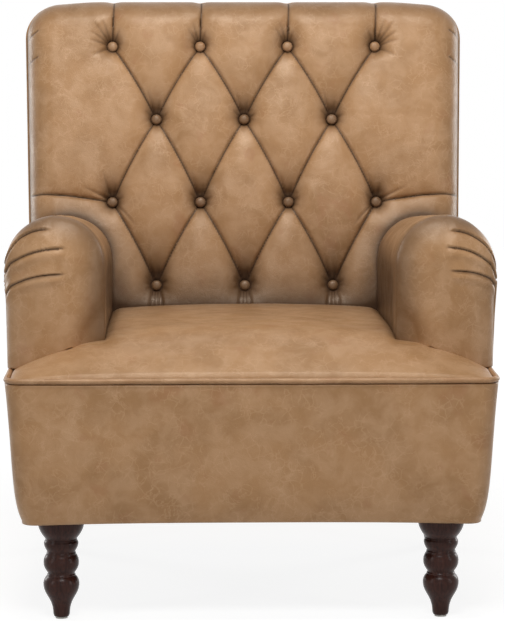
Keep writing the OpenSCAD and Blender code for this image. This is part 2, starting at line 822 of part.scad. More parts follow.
module back_webbing_upright() {
    color(JUTE) in_back() for (k = [0:web_cols - 1])
        let (x = (k - (web_cols - 1) / 2) * button_gap / 2)
        box_at([x - web_w / 2, web_front, lower_rail[0]],
               [x + web_w / 2, web_front + web_t, back_post_len]);
}

module back_webbing_cross() {
    color(JUTE) in_back() difference() {
        for (z = button_rows)
            box_at([-frame_half, post_front - web_t, z - web_w / 2],
                   [frame_half, post_front, z + web_w / 2]);
        twine_bores(web_front, 0);
    }
}

module back_foam() {
    side = concat([[frame_half - clear, back_foot], [frame_half - clear, ledge]],
                  back_side(border_t + 0.3, ledge + 0.5));
    n = len(side);
    color(FOAM) in_back() difference() {
        along_y(pad_y, web_front)
            polygon(concat(side, [for (k = [n - 1:-1:0]) [-side[k][0], side[k][1]]]));
        twine_bores(pad_y - 1, web_front + 1);
    }
}

module back_edge_foam() {
    color(FOAM) difference() {
        in_back() along_y(web_front, -back_panel_t - back_board_t) difference() {
            polygon(back_outline(border_t + 0.3, back_foot));
            translate([-frame_half, 0]) square([2 * frame_half, back_post_len]);
        }
        below_arm_skirt();
    }
}

module back_border() {
    color(LEATHER) difference() {
        in_back() along_y(pad_y, rear_edge_y) difference() {
            polygon(back_outline(0, back_foot));
            polygon(back_outline(border_t, back_foot - 1));
        }
        below_arm_skirt();
    }
}

// Depth of the tufted face from its crown: pleats run from button to button, up over
// the top edge, down to the seat and out to the sides.
pleat_ends = concat(
    [for (k = [0:2]) for (a = button_cols[k]) for (b = button_cols[k + 1])
        if (abs(a - b) == 0.5)
            [[a * button_gap, button_rows[k]], [b * button_gap, button_rows[k + 1]]]],
    [for (a = button_cols[3]) [[a * button_gap, button_rows[3]], [a * button_gap, back_len]]],
    [for (a = button_cols[0]) [[a * button_gap, 0], [a * button_gap, button_rows[0]]]],
    [for (s = [-1, 1]) [[s * 1.5 * button_gap, button_rows[1]],
                        [s * half_w, button_rows[1] + 12]]]);
pleat_reach = 26;
pocket_reach = 26;
function line_gap(p, a, b) =
    let (along = b - a, k = clamp((p - a) * along / (along * along), 0, 1))
    norm(p - a - along * k);
function tuft_sink(p) =
    let (nearest = min([for (s = pleat_ends) line_gap(p, s[0], s[1])]),
         pocket = min([for (b = buttons) norm(p - b)]))
    tuft_rise * exp(-nearest / pleat_reach) + button_draw * exp(-pow(pocket / pocket_reach, 2));
function edge_sink(d) =
    let (over = back_edge_r - clamp(d, 0, back_edge_r))
    back_edge_r - sqrt(pow(back_edge_r, 2) - pow(over, 2));

tuft_parts = [0, 0.14, 0.5, 0.86];
side_parts = [0.14, 0.3, 0.5, 0.66, 0.8, 0.9, 0.97, 1];
top_parts = [0.22, 0.4, 0.6, 0.78, 0.92, 1];
// Columns as half spaces between buttons (up to 3), and then shares of the way to the side.
tuft_cols = concat([for (u = [0:2]) for (p = tuft_parts) u + p], [3],
                   [for (p = side_parts) 3 + p]);
tuft_levels = concat(
    [back_foot, mix(back_foot, button_rows[0], 0.7)],
    [ledge, ledge + 1],
    [for (k = [0:2]) for (p = tuft_parts)
        if (k > 0 || p != 0.14) mix(button_rows[k], button_rows[k + 1], p)],
    [button_rows[3]],
    [for (p = top_parts) mix(button_rows[3], back_len, p)]);
function sorted(v) =
    len(v) < 2 ? v
        : let (m = v[0])
          concat(sorted([for (e = v) if (e < m) e]), [m], sorted([for (e = v) if (e > m) e]));

function tuft_point(c, z) =
    let (a = abs(c), s = sign(c),
         half = z <= ledge ? frame_half - clear : back_half(z),
         x = a <= 3 ? a * button_gap / 2 : mix(1.5 * button_gap, half, a - 3),
         r = back_corner_r,
         da = x - (half - r), db = z - shoulder,
         px = x + round_a(da, db, r) - da,
         pz = z + round_a(db, da, r) - db,
         d = da > 0 && db > 0 ? r - norm([px - (half - r), pz - shoulder])
                              : min(half - x, back_len - z),
         sink = max(edge_sink(d), 0) + tuft_sink([s * px, pz]) * smooth(d / back_edge_r))
    [s * px, -back_t + min(sink, back_edge_r), pz];

module back_tufted_cover() {
    levels = sorted(tuft_levels);
    n = len(tuft_cols) - 1;
    cols = concat([for (k = [n:-1:1]) -tuft_cols[k]], tuft_cols);
    last = [len(levels) - 1, len(cols) - 1];
    face = [for (z = levels) [for (c = cols) tuft_point(c, z)]];
    flat = function (p) [p[0], pad_y, p[2]];
    // Cells lean with the pleat that crosses them.
    lean = function (i, j)
        let (x = (cols[j] + cols[j + 1]) / 2,
             row = len([for (z = button_rows) if (levels[i] >= z - 0.01) 1]) - 1,
             falls = (floor(abs(x)) + row) % 2 == 1)
        x >= 0 ? falls : !falls;
    color(LEATHER) in_back()
        padded(face, flat, [[0, 0], [0, last[1]], [last[0], last[1]], [last[0], 0]],
               [for (i = [0:last[0] - 1]) [0, last[1]]], lean);
}

// Covered buttons sit in their pockets, each on a twine to a washer behind the webbing.
button_seat = -back_t + tuft_rise + button_draw - 5.4;
module tuft_buttons() {
    dome = [for (k = [0:6]) [button_d / 2 * cos(15 * k), 2.5 + 4.5 * sin(15 * k)]];
    color(LEATHER_DARK) in_back() at_buttons(button_seat) rotate([180, 0, 0])
        rotate_extrude($fn = 48) polygon(concat([[0, 0], [button_d / 2 - 1, 0]], dome));
}

module tuft_twines() {
    color(JUTE) in_back() at_buttons(pad_y)
        cylinder(h = post_front - pad_y, r = twine_r, $fn = 24);
}

washer_d = 16;
washer_t = 2;
module tuft_washers() {
    color(NYLON) in_back() at_buttons(post_front)
        cylinder(h = washer_t, d = washer_d, $fn = 32);
}

module back_board() {
    color(BOARD) in_back()
        box_at([-frame_half + 4, -back_panel_t - back_board_t, 6],
               [frame_half - 4, -back_panel_t, back_post_len - 2]);
}

panel_in = welt_in + welt_r + 0.5;
module outer_back_panel() {
    color(LEATHER) difference() {
        in_back() along_y(-back_panel_t, 0) polygon(back_outline(panel_in, -2));
        box_at([-far, -far, 0], [far, far, base_z - 2]);
    }
}

module back_welt() {
    path = [for (p = back_outline(welt_in, 0)) back_at(p[0], -welt_in, p[1])];
    color(LEATHER_DARK) tube(path, welt_r, 10, [0, cos(rake), -sin(rake)]);
}

dust_t = 1.5;
module dust_cover() {
    margin = 5;
    color(CAMBRIC) difference() {
        box_at([-frame_half + margin, rail_y + margin, base_z - dust_t],
               [frame_half - margin, leaning_y(-back_panel_t - back_board_t, base_z) - 1, base_z]);
        leg_places() translate([0, 0, -plate_t])
            cube([plate_w + 2, plate_w + 2, 2 * plate_t], center = true);
    }
}

// Legs and their fittings
front_leg_at = [frame_half - front_leg_in, depth_y(front_leg_back)];
rear_leg_at = [frame_half - rear_leg_in, block_rear_y - rear_leg_front];
bolt_up = 40;
bolt_down = 34;
plate_screw_r = 1.8;
plate_screw_l = 16;
glide_pin_r = 1.5;
glide_pin_l = 12;

// Places children at the top of each leg, at the underside of the frame.
module leg_places() {
    both_sides() for (p = [front_leg_at, rear_leg_at])
        translate([p[0], p[1], base_z]) children();
}

// Radius of a turned leg: a round cup, a ring, a ball and a vase on a tapered foot.
function bulge(z, middle, reach, thick, neck) =
    let (k = (z - middle) / reach) abs(k) >= 1 ? 0 : neck + thick * sqrt(1 - k * k);
function turned_r(z) =
    let (s = leg_h / 163, cup = leg_d / 2,
         h = min(z / s, 147),
         ankle = 12.6 + 0.7 * smooth(h / 20),
         vase = h < 56 ? mix(ankle, 27.8, smooth((h - 18) / 36)) : bulge(h, 56, 15, 8, 19.8),
         core = h > 104 ? 22.6 : h > 60 ? 20.6 : 0,
         top = h > 139 ? cup - 3 * pow((h - 145) / 7, 2)
                       : h > 127 ? mix(22.6, cup - 2.2, pow((h - 127) / 12, 2)) : 0)
    max(ankle * (h < 60 ? 1 : 0), vase, core, top,
        bulge(h, 90, 15, 7.5, 19.8), bulge(h, 118, 6.5, 4, 22.5));
turn_step = 2.5;

module front_leg(side) {
    steps = round((leg_h - glide_h) / turn_step);
    color(ESPRESSO) on_side(side) difference() {
        translate(front_leg_at) rotate_extrude($fn = 64)
            polygon(concat([[0, glide_h]],
                           [for (k = [0:steps]) let (z = mix(glide_h, leg_h, k / steps))
                               [turned_r(z), z]],
                           [[0, leg_h]]));
        translate([front_leg_at[0], front_leg_at[1], leg_h - bolt_down - 1])
            cylinder(h = bolt_down + 2, r = bolt_d / 2 + play, $fn = 32);
        translate([front_leg_at[0], front_leg_at[1], 0])
            cylinder(h = glide_h + glide_pin_l + 1, r = glide_pin_r + play, $fn = 24);
    }
}

rear_foot_at = rear_leg_at + [rear_spread, rear_splay];
module rear_leg(side) {
    foot = function (w, p, z) [for (s = [[-1, -1], [1, -1], [1, 1], [-1, 1]])
        [p[0] + s[0] * w / 2, p[1] + s[1] * w / 2, z]];
    color(ESPRESSO) on_side(side) difference() {
        polyhedron(concat(foot(rear_foot_w, rear_foot_at, glide_h),
                          foot(rear_leg_w, rear_leg_at, leg_h)),
                   [[0, 1, 2, 3], [7, 6, 5, 4],
                    for (k = [0:3]) let (m = (k + 1) % 4) [k, k + 4, m + 4, m]]);
        translate([rear_leg_at[0], rear_leg_at[1], leg_h - bolt_down - 1])
            cylinder(h = bolt_down + 2, r = bolt_d / 2 + play, $fn = 32);
        translate([rear_foot_at[0], rear_foot_at[1], 0])
            cylinder(h = glide_h + glide_pin_l + 1, r = glide_pin_r + play, $fn = 24);
    }
}

// Countersunk screws at the corners of each plate. r is the radius of the hole or shank.
module plate_screws(r) {
    reach = plate_w / 2 - 9;
    leg_places() for (sx = [-1, 1]) for (sy = [-1, 1])
        translate([sx * reach, sy * reach, -plate_t]) {
            cylinder(h = plate_screw_l, r = r, $fn = 24);
            cylinder(h = 2, r1 = r + 1.6, r2 = r, $fn = 24);
        }
}

module leg_plates() {
    color(STEEL) difference() {
        leg_places() translate([-plate_w / 2, -plate_w / 2, -plate_t])
            cube([plate_w, plate_w, plate_t]);
        leg_places() translate([0, 0, -plate_t - 1])
            cylinder(h = plate_t + 2, r = bolt_d / 2 + play, $fn = 32);
        plate_screws(plate_screw_r + play);
    }
}

module leg_plate_screws() {
    color(STEEL) plate_screws(plate_screw_r);
}

module leg_bolts() {
    color(STEEL) leg_places() translate([0, 0, -plate_t - bolt_down])
        cylinder(h = bolt_up + plate_t + bolt_down, d = bolt_d, $fn = 32);
}

module foot_glides() {
    color(NYLON) both_sides() for (p = [front_leg_at, rear_foot_at]) translate(p) {
        cylinder(h = glide_h, d = glide_d, $fn = 48);
        cylinder(h = glide_h + glide_pin_l, r = glide_pin_r, $fn = 24);
    }
}

front_rail();
rear_rail();
side_rail(-1);  // side_rail_left
side_rail(1);  // side_rail_right
corner_blocks();
corner_block_screws();
back_post(-1);  // back_post_left
back_post(1);  // back_post_right
back_top_rail();
back_lower_rail();
arm_posts(-1);  // arm_posts_left
arm_posts(1);  // arm_posts_right
arm_top_board(-1);  // arm_top_board_left
arm_top_board(1);  // arm_top_board_right
arm_liner_rail(-1);  // arm_liner_rail_left
arm_liner_rail(1);  // arm_liner_rail_right
arm_facing(-1);  // arm_facing_left
arm_facing(1);  // arm_facing_right
seat_springs();
spring_clips();
seat_deck();
seat_foam();
seat_cover();
seat_welt();
front_border();
arm_foam(-1);  // arm_foam_left
arm_foam(1);  // arm_foam_right
arm_cover(-1);  // arm_cover_left
arm_cover(1);  // arm_cover_right
arm_pleated_front(-1);  // arm_pleated_front_left
arm_pleated_front(1);  // arm_pleated_front_right
side_panel(-1);  // side_panel_left
side_panel(1);  // side_panel_right
back_webbing_upright();
back_webbing_cross();
back_foam();
back_tufted_cover();
back_edge_foam();
back_border();
tuft_buttons();
tuft_twines();
tuft_washers();
back_board();
outer_back_panel();
back_welt();
dust_cover();
front_leg(-1);  // front_leg_left
front_leg(1);  // front_leg_right
rear_leg(-1);  // rear_leg_left
rear_leg(1);  // rear_leg_right
leg_plates();
leg_plate_screws();
leg_bolts();
foot_glides();
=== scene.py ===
import json
import math

import bmesh
import bpy
import numpy as np
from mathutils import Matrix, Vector, noise


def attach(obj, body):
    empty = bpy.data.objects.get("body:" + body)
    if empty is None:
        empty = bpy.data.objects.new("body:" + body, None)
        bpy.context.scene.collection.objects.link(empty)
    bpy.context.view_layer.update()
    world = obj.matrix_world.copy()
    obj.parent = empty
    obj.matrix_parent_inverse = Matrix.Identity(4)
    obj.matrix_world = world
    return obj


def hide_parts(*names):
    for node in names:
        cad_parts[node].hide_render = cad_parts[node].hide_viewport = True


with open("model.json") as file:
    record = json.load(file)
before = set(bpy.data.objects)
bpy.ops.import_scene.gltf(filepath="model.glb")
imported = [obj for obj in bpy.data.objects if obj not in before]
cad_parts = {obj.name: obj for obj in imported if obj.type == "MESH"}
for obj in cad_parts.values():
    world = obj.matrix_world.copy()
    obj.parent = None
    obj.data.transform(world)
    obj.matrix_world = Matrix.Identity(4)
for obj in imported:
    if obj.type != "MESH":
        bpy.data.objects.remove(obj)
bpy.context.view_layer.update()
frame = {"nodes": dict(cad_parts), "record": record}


# The studio: a white floor under a weak, even sky, with soft boxes above, in front, at both
# sides and behind. The camera is a long lens four metres in front of the seat, a little
# left of its middle and level with the top of the back, as the chair was photographed.
def add(tree, kind, links=(), **settings):
    """Adds a shader node of a kind. Its inputs are linked to sockets or set."""
    made = tree.nodes.new("ShaderNode" + kind)
    for key, value in settings.items():
        if key.startswith("in_"):
            socket = made.inputs[key[3:].replace("_", " ")]
            socket.default_value = value
        else:
            setattr(made, key, value)
    for socket, source in dict(links).items():
        if isinstance(source, bpy.types.NodeSocket):
            tree.links.new(source, made.inputs[socket])
        else:
            made.inputs[socket].default_value = source
    return made


def rgb(code):
    """Linear red, green, blue and alpha of an sRGB colour written as six hex digits."""
    parts = [int(code[k:k + 2], 16) / 255 for k in (1, 3, 5)]
    return [c / 12.92 if c <= 0.04045 else ((c + 0.055) / 1.055) ** 2.4 for c in parts] + [1.0]


def bare_material(name):
    """A material without nodes, and its node tree."""
    material = bpy.data.materials.new(name)
    material.use_nodes = True
    material.node_tree.nodes.clear()
    return material, material.node_tree


def seen_or_mirrored(tree):
    """1 for rays that show the backdrop: from the camera, or through gloss or glass."""
    path = add(tree, "LightPath")
    seen = add(tree, "Math", {0: path.outputs["Is Camera Ray"],
                              1: path.outputs["Is Glossy Ray"]}, operation="MAXIMUM")
    return add(tree, "Math", {0: seen.outputs[0], 1: path.outputs["Is Transmission Ray"]},
               operation="MAXIMUM").outputs[0]


SKY_LIGHT = 0.02
world = bpy.data.worlds.new("studio_sky")
world.use_nodes = True
sky = world.node_tree
sky.nodes.clear()
shown = add(sky, "Background", in_Color=rgb("#ffffff"), in_Strength=1.0)
lit = add(sky, "Background", in_Color=rgb("#fbfaf8"), in_Strength=SKY_LIGHT)
chosen = add(sky, "MixShader", {0: seen_or_mirrored(sky), 1: lit.outputs[0],
                                2: shown.outputs[0]})
add(sky, "OutputWorld", {"Surface": chosen.outputs[0]})
bpy.context.scene.world = world
bpy.context.scene.view_settings.view_transform = "Standard"

CHAIR_MIDDLE = (0, 0, 0.5)
SIDE_WATTS, REAR_WATTS = 5, 18
# Each soft box has a place, an aim, a width and a height in metres, and a power in watts.
for name, place, aim, width, height, watts in (
        ("key_box", (-0.1, -1.75, 2.0), (0, 0, 0.62), 0.8, 0.5, 18.5),
        ("overhead_box", (0, -0.8, 2.15), (0, 0.2, 0.75), 1.1, 0.3, 21.5),
        ("front_box", (0, -2.2, 0.4), (0, -0.4, 0.3), 1.3, 0.3, 1.5),
        ("left_box", (-1.9, -1.25, 0.8), CHAIR_MIDDLE, 0.16, 1.3, SIDE_WATTS),
        ("right_box", (1.9, -1.25, 0.8), CHAIR_MIDDLE, 0.16, 1.3, SIDE_WATTS),
        ("rear_left_box", (-2.3, 1.7, 0.9), CHAIR_MIDDLE, 0.8, 1.2, REAR_WATTS),
        ("rear_right_box", (2.3, 1.7, 0.9), CHAIR_MIDDLE, 0.8, 1.2, REAR_WATTS)):
    lamp = bpy.data.lights.new(name, "AREA")
    lamp.shape = "RECTANGLE"
    lamp.size, lamp.size_y, lamp.energy = width, height, watts
    holder = bpy.data.objects.new(name, lamp)
    holder.location = place
    holder.rotation_euler = (Vector(aim) - Vector(place)).to_track_quat("-Z", "Y").to_euler()
    bpy.context.scene.collection.objects.link(holder)

FLOOR_HALF = 6.0
SHADOW_NEAR, SHADOW_FAR, NEAR_GLOW = 0.7, 2.2, 0.88
bm = bmesh.new()
bmesh.ops.create_grid(bm, x_segments=1, y_segments=1, size=FLOOR_HALF)
floor_mesh = bpy.data.meshes.new("studio_floor")
bm.to_mesh(floor_mesh)
bm.free()
studio_floor = bpy.data.objects.new("studio_floor", floor_mesh)
bpy.context.scene.collection.objects.link(studio_floor)

# To the camera the floor glows white, a little less so near the chair, and its dim part
# holds the chair's shadow. To everything else it is plain white paint.
white_floor, tree = bare_material("white_floor")
matt = add(tree, "BsdfDiffuse", in_Color=rgb("#e9e8e6"))
dim = add(tree, "BsdfDiffuse", in_Color=rgb("#8c8c8b"))
away = add(tree, "VectorMath", {0: add(tree, "TexCoord").outputs["Object"]}, operation="LENGTH")
lighter = add(tree, "MapRange", {"Value": away.outputs["Value"]},
              in_From_Min=SHADOW_NEAR, in_From_Max=SHADOW_FAR, in_To_Min=NEAR_GLOW,
              in_To_Max=1.0)
glow = add(tree, "Emission", {"Strength": lighter.outputs[0]}, in_Color=rgb("#ffffff"))
both = add(tree, "AddShader", {0: dim.outputs[0], 1: glow.outputs[0]})
surface = add(tree, "MixShader", {0: seen_or_mirrored(tree), 1: matt.outputs[0],
                                  2: both.outputs[0]})
add(tree, "OutputMaterial", {"Surface": surface.outputs[0]})
floor_mesh.materials.append(white_floor)

EYE = Vector((-0.094, -4.400, 0.953))
LOOKS_AT = Vector((0.0, -0.400, 0.583))
lens = bpy.data.cameras.new("camera")
lens.sensor_width = 36
lens.lens = 152.6
lens.shift_y = -0.1
lens.clip_end = 50
camera = bpy.data.objects.new("camera", lens)
camera.location = EYE
camera.rotation_euler = (LOOKS_AT - EYE).to_track_quat("-Z", "Y").to_euler()
bpy.context.scene.collection.objects.link(camera)
bpy.context.scene.camera = camera


# The seat cover: full-grain pull-up leather over fibre and foam, cut as a tee that reaches
# round in front of both arms. It is pulled tight over a crown, sewn to the welt along its
# front edge, and tucked down beside the arms and under the back.
MM = 0.001
BODY_HALF = 381.0  # half the width over the arms
FRONT = -400.0
EAR = 130.0  # how far the seat reaches in front of the arms
ARM_IN = 228.6  # the arms' inner faces
TUCK_GAP = 0.4  # between covers that press on each other
EDGE_Z = 382.0  # the seat's edge, at the welt
COVER_FOOT_Z = 377.0  # where the seat's cover is sewn and stapled
SEAT_RISE = 67.0  # from the edge to the top of the crown
SEAT_REAR_Z = EDGE_Z + SEAT_RISE - 8
SEAT_TAIL_DROP = 6.0  # how much the seat falls towards the back
SIDE_FALL = 0.13  # the share of its rise that it loses at the arms
NOSE = 170.0  # how far its rounded front and ends reach in
ARM_TUCK, REAR_TUCK, FOOT_DIP = 3.0, 15.0, 3.5
WELT_R = 4.5
WELT_BEND = 24.0  # the welt's turn at each front corner
EDGE_IN = 2 * WELT_R + 0.3
BACK_Y, FRAME_Z = 239.98, 165.5  # the foot of the back's rear face
RAKE = math.radians(11.5)
BACK_T = 152.0  # from that face to the crown of the tufted cover


def smooth(k):
    """A soft step from 0 to 1 as k goes from 0 to 1."""
    k = np.clip(k, 0, 1)
    return k * k * (3 - 2 * k)


def mix(a, b, k):
    """From a to b as k goes from 0 to 1."""
    return a + (b - a) * k


def leaning_y(y, z):
    """Depth, at a height, of a plane that leans with the back."""
    return BACK_Y + y / math.cos(RAKE) + (z - FRAME_Z) * math.tan(RAKE)


def uneven(points, size, seed):
    """Smooth unevenness from -1 to 1 at each point, with features of about the given size."""
    return np.array([noise.noise(Vector(p) / size + Vector((seed, 0, 0))) for p in points])


def nose_rise(d):
    """Share of the seat's rise that is reached at a distance from the welt."""
    return 1 - (1 - np.clip(d / NOSE, 0, 1)) ** 2.2


def seat_z(x, t):
    """Height of the seat at x, and t behind the front welt."""
    side = mix(nose_rise(BODY_HALF - np.abs(x)), 1, smooth((t - EAR) / 60))
    crown = 1 - SIDE_FALL * np.minimum(np.abs(x) / ARM_IN, 1) ** 2.4
    tail = SEAT_TAIL_DROP * smooth((t - 2 * EAR) / (2 * EAR))
    return EDGE_Z + (SEAT_RISE - tail) * nose_rise(t) * side * crown


def rounded(a, b, radius):
    """Rounds a square corner: a and b are how far points lie past the two sides' arc ends."""
    corner = (a > 0) & (b > 0)
    round_a = np.where(corner, a * np.sqrt(1 - np.clip(b / radius, 0, 1) ** 2 / 2), a)
    round_b = np.where(corner, b * np.sqrt(1 - np.clip(a / radius, 0, 1) ** 2 / 2), b)
    return round_a, round_b, corner


def grid(columns, rows, place):
    """A grid whose points are put by place(), from how far across and up each one is."""
    made = bmesh.new()
    bmesh.ops.create_grid(made, x_segments=columns, y_segments=rows, size=0.5)
    flat = np.array([v.co for v in made.verts])
    for v, point in zip(made.verts, np.stack(place(flat[:, 0] + 0.5, flat[:, 1] + 0.5), 1)):
        v.co = point
    return made


def close_down(made, place):
    """Extrudes the open edge to where place() puts each point, and fills what is left open."""
    open_edges = [e for e in made.edges if e.is_boundary]
    grown = bmesh.ops.extrude_edge_only(made, edges=open_edges)["geom"]
    for v in (g for g in grown if isinstance(g, bmesh.types.BMVert)):
        v.co = place(v.co)
    rim = [g for g in grown if isinstance(g, bmesh.types.BMEdge) and g.is_boundary]
    bmesh.ops.triangle_fill(made, edges=rim, use_beauty=True, use_dissolve=False)


def leather(name, tan, seed):
    """Full-grain pull-up leather: dyed through, then oiled and waxed. Its colour moves away
    where it is stretched, which gives cloudy light and dark patches and fine pale marks."""
    pale, deep, ruddy, painted_shade_brown = "#c09b78", "#85623f", "#9a6947", "#2c180b"
    material, tree = bare_material(name)
    where = add(tree, "TexCoord").outputs["Object"]
    spot = add(tree, "Mapping", {"Vector": where}, in_Location=(seed,) * 3).outputs[0]

    # Patches, each with its size in millimetres, detail, roughness, warp, and the noise
    # values at which it begins and is full.
    patch = {}
    for kind, size, detail, rough, warp, begins, full in (
            ("clouds", 90, 3, 0.5, 0.0, 0.38, 0.66), ("mottle", 34, 6, 0.58, 0.4, 0.34, 0.70),
            ("ruddy", 48, 3, 0.5, 0.2, 0.60, 0.72), ("veined", 42, 2, 0.5, 0.0, 0.44, 0.60),
            ("creased", 30, 2, 0.5, 0.0, 0.46, 0.60)):
        drift = add(tree, "TexNoise", {"Vector": spot}, in_Scale=1000 / size,
                    in_Detail=detail, in_Roughness=rough, in_Distortion=warp)
        patch[kind] = add(tree, "MapRange", {"Value": drift.outputs["Fac"]},
                          interpolation_type="SMOOTHSTEP", in_From_Min=begins,
                          in_From_Max=full).outputs[0]

    # Veins are the thin lines where a 24 mm noise passes its middle. Creases are the edges
    # of 17 mm cells that a 16 mm noise bends. Both show in patches.
    drift = add(tree, "TexNoise", {"Vector": spot}, in_Scale=1000 / 24,
                in_Detail=4, in_Roughness=0.55, in_Distortion=0.5)
    signed = add(tree, "Math", {0: drift.outputs["Fac"], 1: 0.5}, operation="SUBTRACT")
    from_middle = add(tree, "Math", {0: signed.outputs[0]}, operation="ABSOLUTE")
    bend = add(tree, "TexNoise", {"Vector": spot}, in_Scale=1000 / 16, in_Detail=3)
    bend = add(tree, "VectorMath", {0: bend.outputs["Color"], "Scale": 0.012},
               operation="SCALE")
    bent = add(tree, "VectorMath", {0: spot, 1: bend.outputs[0]}, operation="ADD")
    cells = add(tree, "TexVoronoi", {"Vector": bent.outputs[0]},
                feature="DISTANCE_TO_EDGE", in_Scale=1000 / 17)
    for kind, distance, width, where_shown in (
            ("veins", from_middle.outputs[0], 0.030, "veined"),
            ("creases", cells.outputs["Distance"], 0.07, "creased")):
        line = add(tree, "MapRange", {"Value": distance},
                   interpolation_type="SMOOTHSTEP", in_From_Min=width, in_From_Max=0)
        patch[kind] = add(tree, "Math", {0: line.outputs[0], 1: patch[where_shown]},
                          operation="MULTIPLY").outputs[0]

    base = rgb(tan)
    for kind, strength, colour in (("clouds", 0.40, deep), ("mottle", 0.45, pale),
                                   ("ruddy", 0.34, ruddy), ("veins", 0.34, pale),
                                   ("creases", 0.31, pale)):
        share = add(tree, "Math", {0: patch[kind], 1: strength}, operation="MULTIPLY")
        base = add(tree, "Mix", {"Factor": share.outputs[0], "A": base, "B": rgb(colour)},
                   data_type="RGBA").outputs["Result"]
    # Painted shade: the fold attribute mixes in a dark brown where shade would fall, in creases,
    # hollows, at rims and between parts.
    fold = add(tree, "Attribute", attribute_name="fold").outputs["Fac"]
    base = add(tree, "Mix", {"Factor": fold, "A": base, "B": rgb(painted_shade_brown)},
               data_type="RGBA").outputs["Result"]

    # The grain's pores are 2.6 mm apart, coarser than in life, so that they show.
    pores = add(tree, "TexVoronoi", {"Vector": spot}, feature="DISTANCE_TO_EDGE",
                in_Scale=1000 / 2.6)
    pebble = add(tree, "MapRange", {"Value": pores.outputs["Distance"]},
                 interpolation_type="SMOOTHSTEP", in_From_Min=0, in_From_Max=0.22)
    grain = add(tree, "Bump", {"Height": pebble.outputs[0]}, in_Strength=0.16,
                in_Distance=0.0006)
    creasing = add(tree, "TexNoise", {"Vector": spot}, in_Scale=1000 / 9,
                   in_Detail=5, in_Roughness=0.6, in_Distortion=0.8)
    relief = add(tree, "Bump", {"Height": creasing.outputs["Fac"], "Normal": grain.outputs[0]},
                 in_Strength=0.22, in_Distance=0.0018)

    # Pale, stretched patches are a little glossier, and the bottom of a tight fold is dull.
    gloss = add(tree, "MapRange", {"Value": patch["mottle"]}, in_To_Min=0.39, in_To_Max=0.31)
    tight = add(tree, "MapRange", {"Value": fold}, interpolation_type="SMOOTHSTEP",
                in_From_Min=0.82, in_From_Max=0.95)
    gloss = add(tree, "Mix", {"Factor": tight.outputs[0], "A": gloss.outputs[0]}, in_B=0.95)
    skin = add(tree, "BsdfPrincipled",
               {"Base Color": base, "Roughness": gloss.outputs[0], "Normal": relief.outputs[0]},
               in_IOR=1.46, in_Specular_IOR_Level=0.44, in_Specular_Tint=rgb("#fcead6"))
    add(tree, "OutputMaterial", {"Surface": skin.outputs[0]})
    return material


def finish_piece(name, made, material, slot, *stands_for):
    """Makes the piece, in metres, and lets it ride on the chair and stand for CAD nodes.
    Its surface is closed by now, so its normals can be turned outwards."""
    bmesh.ops.recalc_face_normals(made, faces=made.faces)
    bmesh.ops.scale(made, vec=(MM, MM, MM), verts=made.verts)
    mesh = bpy.data.meshes.new(name)
    made.to_mesh(mesh)
    made.free()
    mesh.shade_smooth()
    mesh.materials.append(material)
    piece = bpy.data.objects.new(name, mesh)
    bpy.context.scene.collection.objects.link(piece)
    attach(piece, "root")
    if stands_for:
        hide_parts(*stands_for)
    return piece


tan_leather = leather("pull_up_leather", "#a67e57", 0.0)
trim_leather = leather("pull_up_leather_trim", "#9f7753", 3.0)

SEAT_COLUMNS, SEAT_MIDDLE = 200, 0.6
SEAT_ROWS, EAR_SHARE = 144, 0.25


def place_seat(across, along):
    """Puts the seat's points: across from side to side, along from the welt to the back."""
    s = 2 * across - 1
    middle = ARM_IN - TUCK_GAP
    x = np.where(np.abs(s) <= SEAT_MIDDLE, s / SEAT_MIDDLE * middle,
                 np.sign(s) * mix(middle, BODY_HALF - EDGE_IN,
                                  (np.abs(s) - SEAT_MIDDLE) / (1 - SEAT_MIDDLE)))
    rear = leaning_y(-BACK_T - TUCK_GAP, SEAT_REAR_Z) - FRONT
    t = np.where(along <= EAR_SHARE, mix(EDGE_IN, EAR - TUCK_GAP, along / EAR_SHARE),
                 mix(EAR - TUCK_GAP, rear, (along - EAR_SHARE) / (1 - EAR_SHARE)))
    z = seat_z(x, t)
    # Tucked down beside the arms, under the back and round the arms' feet.
    z = z - ARM_TUCK * (1 - smooth((middle - np.abs(x)) / 14)) * smooth((t - EAR + 26) / 26)
    z = z - REAR_TUCK * (1 - smooth((rear - t) / 24))
    beside_foot = np.hypot(np.maximum(ARM_IN - np.abs(x), 0), np.maximum(EAR - 34 - t, 0))
    z = z - FOOT_DIP * np.exp(-beside_foot / 7)
    turn = WELT_BEND - WELT_R - 0.5
    a = np.abs(x) - (BODY_HALF - EDGE_IN - turn)
    b = EDGE_IN + turn - t
    round_a, round_b, _ = rounded(a, b, turn)
    x = x + np.sign(x) * (round_a - a)
    t = t - (round_b - b)
    on_edge = (along < 1e-4) | ((np.abs(s) > 1 - 1e-4) & (along <= EAR_SHARE + 1e-4))
    z = np.where(on_edge, EDGE_Z, z)
    points = np.stack([x, t, z], 1)
    calm = smooth(t / 60) * smooth((BODY_HALF - np.abs(x)) / 60)
    z = z + calm * (1.3 * uneven(points, 130, 1.7) + 0.5 * uneven(points, 45, 4.1))
    return x, FRONT + t, z


def seat_foot(point):
    """Where the cover's edge is pulled down to, in front of the back."""
    return Vector((point.x, min(point.y, leaning_y(-BACK_T - TUCK_GAP, COVER_FOOT_Z)),
                   COVER_FOOT_Z))


def darken(made, shades):
    """Notes at each point how much painted shade darkens the leather, in creases, hollows and
    corners.
    """
    fold = made.verts.layers.float.new("fold")
    for v, shade in zip(made.verts, shades):
        v[fold] = shade


